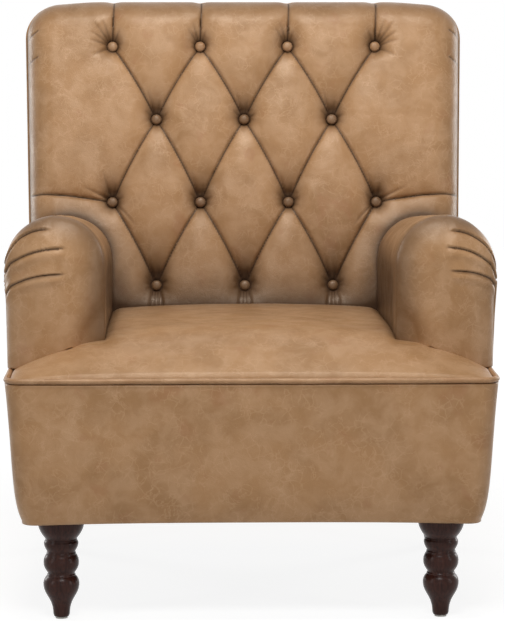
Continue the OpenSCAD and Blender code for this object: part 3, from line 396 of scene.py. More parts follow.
def seat_shade(at):
    """Painted shade: dark where the seat goes in under the back and beside the arms."""
    x, y, _ = at.T
    rear = leaning_y(-BACK_T, SEAT_REAR_Z)
    beside = np.where(y > FRONT + EAR, ARM_IN - np.abs(x),
                      np.hypot(np.maximum(ARM_IN - np.abs(x), 0), FRONT + EAR - y))
    under_back = 0.6 * np.exp(-np.abs(rear - y) / 44)
    at_arms = 0.5 * np.exp(-np.abs(beside) / 16)
    return 1 - (1 - under_back) * (1 - at_arms)


seat = grid(SEAT_COLUMNS, SEAT_ROWS, place_seat)
behind_arms = []
for face in seat.faces:
    middle = face.calc_center_median()
    if abs(middle.x) > ARM_IN and middle.y > FRONT + EAR - 1:
        behind_arms.append(face)
bmesh.ops.delete(seat, geom=behind_arms, context="FACES")
close_down(seat, seat_foot)
darken(seat, seat_shade(np.array([v.co for v in seat.verts])))
seat_cover = finish_piece("seat_leather", seat, tan_leather, "leather", "seat_cover")


# The seat welt: a paper cord wrapped in a strip of the same leather, sewn between the seat
# cover and the front border. It runs along the front and turns both corners to the arms.
def welt(name, path, *stands_for):
    """A welt along a path of points in millimetres."""
    curve = bpy.data.curves.new(name, "CURVE")
    curve.dimensions = "3D"
    curve.bevel_depth = WELT_R * MM
    curve.bevel_resolution = 4
    curve.use_fill_caps = True
    line = curve.splines.new("POLY")
    line.points.add(len(path) - 1)
    for point, at in zip(line.points, path):
        point.co = (at[0] * MM, at[1] * MM, at[2] * MM, 1)
    cord = bpy.data.objects.new(name + "_line", curve)
    bpy.context.scene.collection.objects.link(cord)
    shape = bpy.data.meshes.new_from_object(
        cord.evaluated_get(bpy.context.evaluated_depsgraph_get()))
    bpy.data.objects.remove(cord)
    made = bmesh.new()
    made.from_mesh(shape)
    bmesh.ops.remove_doubles(made, verts=made.verts, dist=1e-6)
    bmesh.ops.scale(made, vec=(1 / MM,) * 3, verts=made.verts)
    return finish_piece(name, made, trim_leather, "leather_trim", *stands_for)


WELT_Z = COVER_FOOT_Z + WELT_R + 0.3


def round_u(half_width, front, rear, bend):
    """One side of a line that runs along the front and turns back round a corner."""
    run = [(mix(0, half_width - bend, k / 40), front) for k in range(40)]
    turn = [(half_width - bend + bend * math.sin(a), front + bend - bend * math.cos(a))
            for a in np.linspace(0, math.pi / 2, 13)]
    return run + turn + [(half_width, mix(front + bend, rear, k / 10)) for k in range(1, 11)]


side = round_u(BODY_HALF - WELT_R, FRONT + WELT_R, FRONT + EAR - TUCK_GAP, WELT_BEND)
path = [(-x, y, WELT_Z) for x, y in reversed(side[1:])] + [(x, y, WELT_Z) for x, y in side]
path = [(x, y, z + 0.5 * noise.noise(Vector((x / 60, 0.3, 0)))) for x, y, z in path]
welt("seat_welt_cord", path, "seat_welt")


# The front border: leather over thin felt, sewn under the welt, pulled down over the front
# rail and stapled beneath it, so its foot rolls under and its corners hang a little lower.
SIDE_PROUD = 3.0
HIDE_T = 4.0
BORDER_FOOT = FRAME_Z - 4
BORDER_BEND = 26.0
BORDER_REAR = FRONT + EAR - TUCK_GAP
FOOT_ROLL, CORNER_SAG, BORDER_BELLY = 9.0, 5.5, 2.0
# At its sides the body swells under the seat's edge, draws in downwards and rolls under.
SIDE_SWELL, SIDE_DRAW, SIDE_ROLL = 2.0, 14.0, 9.0


def side_x(z):
    """Half width of the body at a height."""
    k = np.clip((z - FRAME_Z) / (EDGE_Z - FRAME_Z), 0, 1)
    return (BODY_HALF - SIDE_PROUD + SIDE_SWELL * k ** 6 - SIDE_DRAW * (1 - k)
            - SIDE_ROLL * (1 - k) ** 9)


def place_border(across, up):
    """Puts the border's points: across round the front and both corners, up from its foot."""
    z = mix(BORDER_FOOT, COVER_FOOT_Z, up)
    half = side_x(z)
    front = FRONT + SIDE_PROUD + FOOT_ROLL * (1 - up) ** 10 + 1.2 * smooth((up - 0.975) / 0.025)
    flat_run = half - BORDER_BEND
    arc = BORDER_BEND * math.pi / 2
    back_run = BORDER_REAR - front - BORDER_BEND
    s = (2 * across - 1) * (flat_run + arc + back_run)
    a = np.abs(s)
    angle = np.clip((a - flat_run) / BORDER_BEND, 0, math.pi / 2)
    x = np.minimum(a, flat_run) + BORDER_BEND * np.sin(angle)
    y = front + BORDER_BEND * (1 - np.cos(angle)) + np.maximum(a - flat_run - arc, 0)
    z = z - CORNER_SAG * (1 - up) ** 3 * (x / BODY_HALF) ** 3 * np.exp(-((y - FRONT) / 60) ** 2)
    belly = np.sin(math.pi * np.clip(up, 0, 1)) * np.cos(angle)
    points = np.stack([s, 0 * s, z], 1)
    y = y - belly * (BORDER_BELLY + 1.2 * uneven(points, 150, 2.3) + 0.5 * uneven(points, 48, 6.4))
    return np.sign(s) * x, y, z


def thicken(sheet):
    """Gives a sheet the thickness of its leather and felt."""
    bmesh.ops.recalc_face_normals(sheet, faces=sheet.faces)
    bmesh.ops.solidify(sheet, geom=sheet.faces, thickness=HIDE_T)


border = grid(252, 60, place_border)
thicken(border)
finish_piece("front_border_leather", border, tan_leather, "leather", "front_border")


# The arms: one hide pulled over foam and wadding from the inside, over the roll and down
# the outside, and brought round the front in three lapped pleats on its outer side.
SIDES = ((-1, "left"), (1, "right"))
ARM_R = 76.2
ARM_X = BODY_HALF - ARM_R
ARM_AXIS_Z = 625.0 - ARM_R
ARM_FALL = math.radians(4.2)  # the roll falls towards the back
ARM_FOOT_Z = 335.0  # where the inner side is stapled, below the seat
ARM_SKIRT = 43.0  # from the roll's axis to its outer foot
ARM_SWELL = 37.0  # how far the padded front stands out
ARM_REACH = 500.0
POST_TUCK = 27.0  # how far the front draws in towards the post, low down
SHOULDER_X, SHOULDER_RUN = 322.0, 48.0
PAD_Y = -92.0  # the back cover's flat rear, in the back's own frame
AROUND, CAP_ROWS, ARM_ROWS = 300, 46, 96
FOOT_SHARE = 0.3
# How far the outer side of each roll sags at its front, on the left and on the right.
SLUMP = {-1: 2.0, 1: 3.5}
# Each pleat's inner end across from the arm's middle, its height, and its fall to the side.
PLEATS = {-1: [(10, 606.5, 37), (-14, 577, 30), (-12, 537, 25)],
          1: [(8, 604, 42), (0, 578, 36), (8, 541, 18)]}


def cap_foot(x, t):
    """Height at which the arm's front goes down into the seat or behind the welt."""
    tuck = 5 + 10 * smooth((ARM_IN + 42 - np.abs(x)) / 30)
    return np.maximum(seat_z(x, t) - tuck, WELT_Z + WELT_R + TUCK_GAP)


def place_arm(around, along):
    """Puts the arm's points. around runs from the inner foot over the roll to the outer
    foot, along from the middle of the front, out to its rim, and then back to the rear."""
    cap_share = CAP_ROWS / (CAP_ROWS + ARM_ROWS)
    rho = np.sin(math.pi / 2 * np.clip(along / cap_share, 0, 1))
    back = np.clip((along - cap_share) / (1 - cap_share), 0, 1)
    dome = (1 - rho ** 2.05) ** 0.56
    t = EAR - ARM_SWELL * dome + back * ARM_REACH
    axis_z = ARM_AXIS_Z - np.maximum(t - EAR, 0) * math.tan(ARM_FALL)
    straight, arc = FOOT_SHARE, 1 - 2 * FOOT_SHARE
    inner, outer = around < straight, around > straight + arc
    angle = math.pi * (1 - np.clip((around - straight) / arc, 0, 1))
    dx = np.cos(angle) * ARM_R * rho
    x = ARM_X + dx
    inner_foot = mix(cap_foot(x, t), ARM_FOOT_Z, smooth(back * 12))
    skirt = axis_z - ARM_SKIRT / math.cos(ARM_FALL)
    outer_foot = np.where(back < 0.006, cap_foot(x, t), skirt)
    down_in = np.clip(1 - around / straight, 0, 1)
    down_out = np.clip((around - straight - arc) / (1 - straight - arc), 0, 1)
    z = axis_z + np.sin(angle) * ARM_R * rho
    z = np.where(inner, mix(axis_z, inner_foot, down_in), z)
    z = np.where(outer, mix(axis_z, outer_foot, down_out), z)
    tuck = POST_TUCK * smooth((520 - z) / 92) ** 1.6 * (1 - smooth((t - EAR + 20) / 20))
    x = x + np.where(dx < 0, tuck * rho, 0)
    # The rear ends at the back's cover, and follows its rolled edge further out.
    at_pad = leaning_y(PAD_Y - TUCK_GAP, z)
    at_cover = leaning_y(-BACK_T - TUCK_GAP, z)
    roll = np.clip((np.abs(x) - SHOULDER_X) / SHOULDER_RUN, 0, 1)
    stop = mix(at_cover, at_pad, 1 - np.sqrt(1 - roll ** 2))
    y = np.where(back > 0, mix(FRONT + EAR, stop, back), FRONT + t)
    return x, y, z


def lay_arm_pleats(co, side):
    """Draws points to the pleats' lines, and gives how far each one is lifted and how much
    painted shade darkens it in a pleat's groove. The leather bulges above each line, where it laps
    over, and dips below it."""
    behind_rim = np.maximum(co[:, 1] - (FRONT + EAR - 14), 0)
    beside = co[:, 0] - ARM_X + behind_rim * (co[:, 0] > ARM_X)
    lift = 0.6 + 0.7 * uneven(co, 70, 3.0 + side) + 0.35 * uneven(co, 24, 8.0 + side)
    dark = np.zeros(len(co))
    for inner_end, height, fall in PLEATS[side]:
        k = np.clip((beside - inner_end) / (ARM_R - inner_end), 0, 1.5)
        above = co[:, 2] - (height - fall * k ** 2.4)
        near = (np.abs(above) < 1.12) & (beside > inner_end) & (beside < 150)
        co[near, 2] -= above[near]
        above = np.where(near, 0, above)
        strength = smooth((beside - inner_end + 6) / 16) * (1 - smooth((beside - 100) / 60))
        over = 3.2 * np.exp(-np.maximum(above, 0) / 16) * (1 - np.exp(-(above / 1.1) ** 2))
        under = 1.8 * np.exp(-((above + 9) / 8) ** 2) - 2.2 * np.exp(above / 3)
        lift = lift + strength * np.where(above > 0, over, under)
        # Painted shade along the groove under each pleat's lap.
        dark = np.maximum(dark, strength * np.exp(-(above / 1.2) ** 2))
    return lift, dark


def arm_shade(at, in_pleat):
    """Painted shade in the pleats, on the inner face, round the front's rim and at its foot."""
    x, y, z = at.T
    inside = smooth((ARM_X - 60 - x) / 14) * smooth((y + 262) / 60)
    inside *= smooth((ARM_AXIS_Z + 30 - z) / 60)
    from_axis = np.hypot(x - ARM_X, np.maximum(z - ARM_AXIS_Z, 0)) / ARM_R
    inner_or_top = np.maximum(smooth((ARM_X + 34 - x) / 50),
                              smooth((z - ARM_AXIS_Z - 30) / 36))
    near_front = mix(0.3, 1, smooth((FRONT + EAR + 70 - y) / 70))
    rim = smooth((from_axis - 0.28) / 0.74) ** 1.2 * inner_or_top * near_front
    low = smooth((ARM_X - 12 - x) / 50) * smooth((450 - z) / 90)
    return 1 - ((1 - 0.94 * in_pleat) * (1 - 0.8 * inside) * (1 - 0.6 * rim)
                * (1 - 0.35 * low))


def make_arm(side):
    """One arm's cover, laid in pleats, given its thickness and put on its side."""
    arm = grid(AROUND, CAP_ROWS + ARM_ROWS, place_arm)
    bmesh.ops.remove_doubles(arm, verts=arm.verts, dist=0.02)
    bmesh.ops.recalc_face_normals(arm, faces=arm.faces)
    if sum(f.normal.x * (f.calc_center_median().x - ARM_X) for f in arm.faces) < 0:
        bmesh.ops.reverse_faces(arm, faces=arm.faces)
    arm.normal_update()
    co = np.array([v.co for v in arm.verts])
    lift, in_pleat = lay_arm_pleats(co, side)
    outward = smooth((co[:, 0] - ARM_X + 30) / 80)
    outward = outward * smooth((FRONT + EAR + 30 - co[:, 1]) / 40)
    co[:, 2] -= SLUMP[side] * outward * smooth((co[:, 2] - ARM_AXIS_Z) / 60)
    for v, at, by in zip(arm.verts, co, lift):
        v.co = at
        v.co += v.normal * by
    darken(arm, arm_shade(np.array([v.co for v in arm.verts]), in_pleat))
    bmesh.ops.solidify(arm, geom=arm.faces, thickness=HIDE_T)
    if side < 0:
        bmesh.ops.scale(arm, vec=(-1, 1, 1), verts=arm.verts)
    return arm


for side, word in SIDES:
    arm_piece = finish_piece("arm_leather_" + word, make_arm(side), tan_leather, "leather",
                             "arm_cover_" + word, "arm_pleated_front_" + word)


# The outside arm panels: leather over a stretched lining, closed under the roll and
# stapled beneath the side rail.
REAR_DRAW = 8.0  # how much narrower the body is at its rear
REAR_EDGE_Y = -5.8  # the panels' rear edge, in the back's own frame
PANEL_FOOT = FRAME_Z - 3
PANEL_BACK, LEAST_HALF = 342.2, 344.0


def panel_top(y):
    """Height at which the panel ends, just under the outer foot of the arm's roll."""
    return (ARM_AXIS_Z - ARM_SKIRT / math.cos(ARM_FALL)
            - (y - FRONT - EAR) * math.tan(ARM_FALL) - TUCK_GAP)


def place_panel(along, up):
    """Puts the panel's points: along from the front border to the back, up from its foot."""
    y = mix(FRONT + EAR, leaning_y(REAR_EDGE_Y, 300.0), along)
    z = mix(PANEL_FOOT, panel_top(y), up)
    y = mix(FRONT + EAR, leaning_y(REAR_EDGE_Y, z), along)
    x = np.maximum(side_x(z) - REAR_DRAW * smooth(along), LEAST_HALF)
    points = np.stack([0 * y, y, z], 1)
    fullness = np.sin(math.pi * up) * np.sin(math.pi * along)
    return x + fullness * (1.6 + 1.2 * uneven(points, 140, 5.5)), y, z


for side, word in SIDES:
    panel = grid(120, 80, place_panel)
    bmesh.ops.scale(panel, vec=(side, 1, 1), verts=panel.verts)
    close_down(panel, lambda p: Vector((math.copysign(PANEL_BACK, p.x), p.y, p.z)))
    finish_piece("outside_arm_leather_" + word, panel, tan_leather, "leather",
                 "side_panel_" + word)


# The back cover: one hide pulled into pockets by fourteen covered buttons on twine, with
# its fullness laid in lapped pleats from button to button, up over the top, out to the
# sides and down behind the seat. Its outer field is plain and rolls round the edge.
BACK_LEN = 786.0  # from the back's foot to its top, along the rake
BACK_FOOT = 203.0  # where the cover ends, behind the seat
LEDGE = 307.0  # where it widens, above the arms' inner foot
CORNER_R = 56.0
EDGE_R = 48.0
SHOULDER = BACK_LEN - CORNER_R
LEDGE_HALF = BODY_HALF - SIDE_PROUD - REAR_DRAW + 0.5
FLARE = 9.0  # how much wider the back is at its shoulders
TOP_DROOP, PLEAT_NOTCH = 6.0, 2.4
ROWS = [283.0, 428.4, 573.8, 702.6]
GAP = 153.0  # between the buttons of a row
COLS = [(-1, 0, 1), (-1.5, -0.5, 0.5, 1.5), (-1, 0, 1), (-1.5, -0.5, 0.5, 1.5)]
BUTTONS = [(c * GAP, k) for k in range(4) for c in COLS[k]]
PLEAT_DEPTH, POCKET_DEPTH, POCKET_REACH = 15.0, 10.0, 14.0
# For each row of buttons: how far up the hollow above a button goes, how dark its painted
# shade is, and how far the painted dark ring round a button spreads.
HOLLOW_REACH = (32, 23, 22, 12)
HOLLOW_SHADE = (0.95, 0.94, 0.94, 0.7)
RING_REACH = (13.0, 9.0, 9.0, 7.0)
# For each kind of pleat: how near a point of the grid is drawn to it, how far and how high
# its roll is, and how dark its groove's painted shade is in the middle and at its ends.
BETWEEN_BUTTONS = (1.5, 50.0, 1.0, 0.85, 1.0)
OUT_TO_SIDE = (1.12, 50.0, 1.0, 0.85, 1.0)
AT_CORNER = (1.5, 14.0, 0.3, 0.6, 0.6)


def to_chair(x, y, z):
    """From the back's own frame, along its rake, to the chair's. The top corners droop a
    little, and each pleat notches the top edge."""
    c, s = math.cos(RAKE), math.sin(RAKE)
    droop = TOP_DROOP * smooth((np.abs(x) - 250) / 110) * smooth((z - 589) / 190)
    notch = sum(np.exp(-((x - k * GAP) / 9) ** 2) for k in COLS[3]) * smooth((z - 754) / 30)
    z = z - droop - PLEAT_NOTCH * notch
    return x, BACK_Y + y * c + z * s, FRAME_Z - y * s + z * c


def back_half(z):
    """Half width of the back at a height along its rake."""
    low = np.maximum(side_x(FRAME_Z + z * math.cos(RAKE)) - REAR_DRAW, LEAST_HALF)
    return np.where(z < LEDGE, low,
                    LEDGE_HALF + FLARE * np.clip((z - LEDGE) / (SHOULDER - LEDGE), 0, 1))


def curve_points(a, b, bow):
    """A pleat from a to b that leans over early and then falls more steeply into b."""
    k = np.linspace(0, 1, 13)
    lean = k + bow * np.sin(math.pi * k)
    return np.stack([mix(a[0], b[0], lean), mix(a[1], b[1], k)], 1)


def nearest(points, line):
    """Each point's distance to a line, how far along it that is, and the nearest place."""
    best = np.full(len(points), 1e9)
    share = np.zeros(len(points))
    foot = np.zeros_like(points)
    for k in range(len(line) - 1):
        a, along = line[k], line[k + 1] - line[k]
        s = np.clip(((points - a) @ along) / (along @ along), 0, 1)
        near = a + s[:, None] * along
        d = np.hypot(*(points - near).T)
        closer = d < best
        best = np.where(closer, d, best)
        share = np.where(closer, (k + s) / (len(line) - 1), share)
        foot = np.where(closer[:, None], near, foot)
    return best, share, foot


pleats = []
for k in range(3):
    for upper in COLS[k + 1]:
        for lower in COLS[k]:
            if abs(upper - lower) == 0.5:
                line = curve_points((upper * GAP, ROWS[k + 1]), (lower * GAP, ROWS[k]), 0.045)
                pleats.append((line, BETWEEN_BUTTONS))
for c in COLS[3]:
    line = curve_points((c * GAP + 3, BACK_LEN), (c * GAP, ROWS[3]), 0.0)
    pleats.append((line, BETWEEN_BUTTONS))
for side in (-1, 1):
    line = [(1.5 * GAP, 0), (265, 5), (310, 11), (350, 13), (380, 11)]
    pleats.append((np.array([(side * x, ROWS[1] + up) for x, up in line]), OUT_TO_SIDE))
for side, low, high in ((-1, 719, 734), (-1, 674, 686), (1, 724, 736), (1, 672, 686)):
    line = [(378, low), (369, mix(low, high, 0.55)), (360, high)]
    pleats.append((np.array([(side * x, z) for x, z in line]), AT_CORNER))

# Small folds: start, end, depth and width in millimetres. They gather at the buttons.
small_folds = []
for c in COLS[0]:
    for offset in (-12, -4, 4, 12):
        small_folds.append(((c * GAP + 0.5 * offset, ROWS[0] - 9),
                            (c * GAP + 1.5 * offset, BACK_FOOT), 2.6, 2.4))


def fan(x, z, turns):
    """Small folds from a button at (x, z): each turned from upright, with a length and depth."""
    for turn, length, depth in turns:
        a = math.radians(turn)
        way = np.array([math.sin(a), math.cos(a)])
        small_folds.append((tuple((x, z) + 9 * way), tuple((x, z) + length * way), depth, 2.9))


for c in (-1, 1):
    fan(c * 1.5 * GAP, ROWS[3], [(c * 20, 50, 3.2), (c * 38, 56, 3.0), (c * 56, 46, 2.8),
                                 (c * 76, 42, 2.2), (c * 118, 40, 2.2), (c * -24, 34, 2.0)])
    fan(c * 0.5 * GAP, ROWS[3], [(-18, 44, 2.8), (-36, 38, 2.4), (20, 30, 2.0)])
for k in (0, 1, 2):
    for c in COLS[k]:
        fan(c * GAP, ROWS[k], [(-17, 56, 2.8), (11, 34, 2.2), (-52, 26, 1.8), (66, 22, 1.4)])
for side in (-1, 1):
    x, z = side * 1.5 * GAP, ROWS[1]
    small_folds.append(((x + side * 8, z + 6), (x + side * 52, z + 26), 2.4, 3.0))
    small_folds.append(((x - side * 7, z - 8), (x - side * 32, z - 52), 2.6, 2.6))
    small_folds.append(((x - side * 10, z - 6), (x - side * 42, z - 44), 1.8, 2.6))


def wrap_corner(x, z):
    """Rounds the top corners of the back's outline. Also gives the distance to its edge."""
    half = back_half(z)
    a, b = np.abs(x) - (half - CORNER_R), z - SHOULDER
    round_a, round_b, corner = rounded(a, b, CORNER_R)
    edge = np.where(corner, CORNER_R - np.hypot(round_a, round_b),
                    np.minimum(half - np.abs(x), BACK_LEN - z))
    return x + np.sign(x) * (round_a - a), z + (round_b - b), edge


def lay_pleats(points, edge):
    """Draws points to the pleats' lines. Gives how deep each point lies between the pleats'
    rolls and in the small folds, and how near it is to the bottom of one."""
    proud, small, groove = np.ones(len(points)), np.zeros(len(points)), np.zeros(len(points))
    for line, (near, reach, height, dark_middle, dark_end) in pleats:
        d, share, foot = nearest(points, line)
        snap = (d < near) & (edge > 6)
        points[snap] = foot[snap]
        d = np.where(snap, 0, d)
        ends = np.abs(2 * share - 1) ** 2
        roll = height * (1 - np.sqrt(1 - (1 - np.clip(d / reach, 0, 1)) ** 2))
        proud = proud * (1 - roll * mix(0.84, 1.0, ends))
        dark = mix(dark_middle, dark_end, ends)
        groove = np.maximum(groove, np.exp(-(d / 1.5) ** 2) * dark)
    for a, b, depth, width in small_folds:
        d, share, _ = nearest(points, np.array([a, b]))
        fade = (1 - share) ** 0.8
        small = small + depth * fade * np.exp(-(d / width) ** 2)
        groove = np.maximum(groove, 0.55 * fade * np.exp(-(d / (0.6 * width)) ** 2))
    return PLEAT_DEPTH * (1 - proud) + small, groove


def draw_in(x, z):
    """How deep the buttons pull each point, with the puckers round them and the hollow
    above each, how dark the painted shade is there, and how near it is to a button's rim."""
    pocket, puckers, dusk, groove = (np.zeros(len(x)) for _ in range(4))
    for k, (bx, row) in enumerate(BUTTONS):
        bz = ROWS[row]
        r = np.hypot(x - bx, z - bz)
        angle = np.arctan2(z - bz, x - bx)
        pocket = np.maximum(pocket, POCKET_DEPTH * np.exp(-(r / POCKET_REACH) ** 2))
        ring = np.exp(-((r - 15) / 7) ** 2)
        puckers = puckers + ring * np.sin(9 * angle + 1.3 * k) * 0.6
        above = np.maximum(z - bz, 0)
        hollow = np.exp(-((x - bx) / (9 + 0.42 * above)) ** 2) * (z > bz)
        hollow = hollow * np.minimum(2.0 * np.exp(-above / HOLLOW_REACH[row]), 1)
        puckers = puckers + 6.5 * hollow * smooth((r - 6) / 14)
        groove = np.maximum(groove, 0.85 * np.exp(-((r - 9.6) / 1.9) ** 2))
        if row == 3:
            # Painted shade: the top row's dents are darker on their left, the side away from the
            # light.
            dusk = np.maximum(dusk, 0.34 * np.exp(-(r / 30) ** 2) * smooth((bx - x + 8) / 16))
        # Painted shade in a ring round each button and down the hollow above it.
        beyond = np.maximum(r - 9, 0) / RING_REACH[row]
        dusk = np.maximum(dusk, 0.88 * np.exp(-beyond ** 1.3))
        dusk = 1 - (1 - dusk) * (1 - HOLLOW_SHADE[row] * hollow)
    return pocket + puckers, dusk, groove


def back_shade(x, z, edge, groove, dusk):
    """Painted shade in the grooves, round the buttons, at the seat and the arms, and at the rim.
    """
    near_seat = 0.9 * np.exp(-np.maximum(z - 247, 0) / 54)
    beside_arm = np.hypot(np.abs(x) - ARM_X, np.maximum(z - 330, 0)) - ARM_R
    near_arms = 0.85 * np.exp(-np.maximum(beside_arm, 0) / 13)
    between = smooth((np.abs(x) - 185) / 40) * smooth((370 - z) / 90)
    near_arms = np.maximum(near_arms, 0.6 * between)
    shade = np.clip(1.15 * groove * smooth(edge / 4 + 0.3), 0, 0.94)
    rim = np.maximum(0.30 * (1 - smooth(edge / 16)), 0.38 * (1 - smooth((BACK_LEN - z) / 62)))
    return 1 - ((1 - shade) * (1 - 0.9 * np.clip(dusk, 0, 1)) * (1 - near_seat)
                * (1 - near_arms) * (1 - rim))


BACK_COLUMNS, BACK_ROWS = 340, 270
GRID_HALF, FIELD_HALF, FOOT_HALF = 378.0, 290.0, 341.6
DEEPEST_TUFT, DEEPEST = 25.0, 59.0
back_shades = []


def place_back(across, up):
    """Puts the cover's points, and notes in back_shades how much painted shade darkens each
    one. Columns and rows crowd towards the rolled edge, where the surface turns away."""
    s = 2 * across - 1
    x = np.sign(s) * (1 - (1 - np.abs(s)) ** 1.12) * GRID_HALF
    z = mix(BACK_FOOT, BACK_LEN, 1 - (1 - up) ** 1.15)
    half = np.where(z <= LEDGE, FOOT_HALF, back_half(z))
    stretch = (half - FIELD_HALF) / (GRID_HALF - FIELD_HALF)
    outer = np.sign(x) * (FIELD_HALF + (np.abs(x) - FIELD_HALF) * stretch)
    x = np.where(np.abs(x) > FIELD_HALF, outer, x)
    x, z, edge = wrap_corner(x, z)
    points = np.stack([x, z], 1)
    folds, groove = lay_pleats(points, edge)
    x, z = points.T
    pulled, dusk, rims = draw_in(x, z)
    groove = np.maximum(groove, rims)
    over = EDGE_R - np.clip(edge, 0, EDGE_R)
    roll = EDGE_R - np.sqrt(EDGE_R ** 2 - over ** 2)
    flat = np.stack([x, 0 * x, z], 1)
    relief = np.minimum(folds + pulled, DEEPEST_TUFT) + 2.6 * groove
    relief = relief + 1.4 * uneven(flat, 95, 7.1) + 0.5 * uneven(flat, 33, 2.9)
    relief = relief * mix(0.25, 1, smooth((edge - 2) / EDGE_R)) * smooth(edge / 5)
    back_shades[:] = back_shade(x, z, edge, groove, dusk)
    return to_chair(x, -BACK_T + np.minimum(roll + relief, DEEPEST), z)


def onto_plane(y):
    """Puts points, straight back, on the plane at a depth of the back's own frame."""
    c, s = math.cos(RAKE), math.sin(RAKE)

    def place(point):
        move = y - ((point.y - BACK_Y) * c - (point.z - FRAME_Z) * s)
        return point + Vector((0, move * c, -move * s))
    return place


back = grid(BACK_COLUMNS, BACK_ROWS, place_back)
darken(back, back_shades)
close_down(back, onto_plane(PAD_Y))
back_cover = finish_piece("tufted_back_leather", back, tan_leather, "leather",
                          "back_tufted_cover")


# The back border: a boxing strip of leather over foam, sewn round the sides and top,
# between the cover's rolled edge and the welt at the rear.
def back_side(inset, low):
    """Half of the back's outline, from a height up one side to the top corner's end."""
    r = CORNER_R - inset
    centre = float(back_half(SHOULDER)) - CORNER_R
    rise = [(float(back_half(z)) - inset, z) for z in np.linspace(low, SHOULDER, 60)]
    turn = [(centre + r * math.cos(a), SHOULDER + r * math.sin(a))
            for a in np.linspace(0, math.pi / 2, 15)[1:]]
    return rise + turn


def whole_outline(inset, low):
    """The back's outline from one side's lower end, over the top, to the other's."""
    half = back_side(inset, low)
    top = half[-1][0]
    across = [(mix(top, -top, k / 60), half[-1][1]) for k in range(1, 60)]
    return half + across + [(-x, z) for x, z in reversed(half)]


def place_back_border(across, up):
    """Puts the border's points: across along the outline, up from the cover to the rear."""
    outline = np.array(whole_outline(0.0, LEDGE + 1))
    steps = np.concatenate([[0], np.cumsum(np.hypot(*np.diff(outline, axis=0).T))])
    s = across * steps[-1]
    x, z = np.interp(s, steps, outline[:, 0]), np.interp(s, steps, outline[:, 1])
    y = mix(PAD_Y, REAR_EDGE_Y, up)
    z = z + (y - REAR_EDGE_Y) * math.tan(RAKE) * (1 - smooth((z - LEDGE) / 60))
    soft = np.sin(math.pi * up) * 0.6
    centre_z = np.minimum(z, SHOULDER)
    out = np.stack([x - np.clip(x, -300, 300), z - centre_z], 1)
    out = out / np.maximum(np.hypot(*out.T), 1)[:, None]
    return to_chair(x + out[:, 0] * soft, y, z + out[:, 1] * soft)


back_border = grid(420, 16, place_back_border)
thicken(back_border)
finish_piece("back_border_leather", back_border, tan_leather, "leather", "back_border")


# The outside back: a leather panel over a stiff board, lightly padded. It is stretched and
# tacked along its edge, and a welt runs round it where it meets the border.
PANEL_IN = 6.0
PANEL_Y, PANEL_REAR_Y = -5.0, -1.0


def place_outside_back(across, up):
    """Puts the panel's points: across from side to side, up from its foot to the top."""
    s = 2 * across - 1
    z = mix(2.0, BACK_LEN - PANEL_IN, up)
    half = back_half(z) - PANEL_IN
    x = s * half
    r = CORNER_R - PANEL_IN
    a, b = np.abs(x) - (half - r), z - (BACK_LEN - PANEL_IN - r)
    round_a, round_b, _ = rounded(a, b, r)
    x, z = x + np.sign(x) * (round_a - a), z + (round_b - b)
    points = np.stack([x, 0 * x, z], 1)
    edge = np.minimum(half - np.abs(s * half), np.minimum(z, BACK_LEN - z))
    belly = smooth(edge / 90) * (2.4 + 1.3 * uneven(points, 160, 9.2))
    return to_chair(x, PANEL_REAR_Y + belly, z)


outside_back = grid(180, 180, place_outside_back)
close_down(outside_back, onto_plane(PANEL_Y))
finish_piece("outside_back_leather", outside_back, tan_leather, "leather", "outer_back_panel")

rear_path = [to_chair(x, PANEL_REAR_Y, z) for x, z in whole_outline(1.0, 0.0)]
welt("back_welt_cord", rear_path, "back_welt")


# The buttons: fourteen 18 mm steel shells covered in the same leather. Each is drawn into
# its pocket by waxed twine, which is tied to a washer behind the webbing.
BUTTON_R, BUTTON_H, BUTTON_DRAW = 9.0, 7.0, 22.6


def turned(profile, steps):
    """A solid turned round its own upright axis, from radii and heights."""
    made = bmesh.new()
    verts = [made.verts.new((r, 0, h)) for r, h in profile]
    edges = [made.edges.new(pair) for pair in zip(verts, verts[1:])]
    bmesh.ops.spin(made, geom=verts + edges, cent=(0, 0, 0), axis=(0, 0, 1), steps=steps,
                   angle=2 * math.pi, use_merge=True)
    bmesh.ops.remove_doubles(made, verts=made.verts, dist=0.002)
    return made


button_rim = [(0.0, 0.0), (BUTTON_R - 1.2, 0.0), (BUTTON_R - 0.3, 0.6), (BUTTON_R, 1.6)]
button_dome = [(BUTTON_R * math.cos(a) ** 0.8, 2.2 + (BUTTON_H - 2.2) * math.sin(a))
               for a in np.linspace(0.12, math.pi / 2 - 0.0001, 9)]
buttons = bmesh.new()
buttons.verts.layers.float.new("fold")
for x, row in BUTTONS:
    button = turned(button_rim + button_dome, 40)
    # Painted shade: buttons in the lower rows, and each button's foot down in its pocket, are
    # darker.
    painted_row_shade = 0.2 + 0.42 * smooth((690 - ROWS[row]) / 150)
    darken(button, [min(painted_row_shade + 0.4 * math.exp(-v.co.z / 1.8), 0.95) for v in button.verts])
    for v in button.verts:
        v.co = to_chair(x + v.co.x, -BACK_T + BUTTON_DRAW - v.co.z, ROWS[row] + v.co.y)
    part = bpy.data.meshes.new("button_part")
    button.to_mesh(part)
    button.free()
    buttons.from_mesh(part)
    bpy.data.meshes.remove(part)
finish_piece("covered_buttons", buttons, trim_leather, "leather_trim", "tuft_buttons")


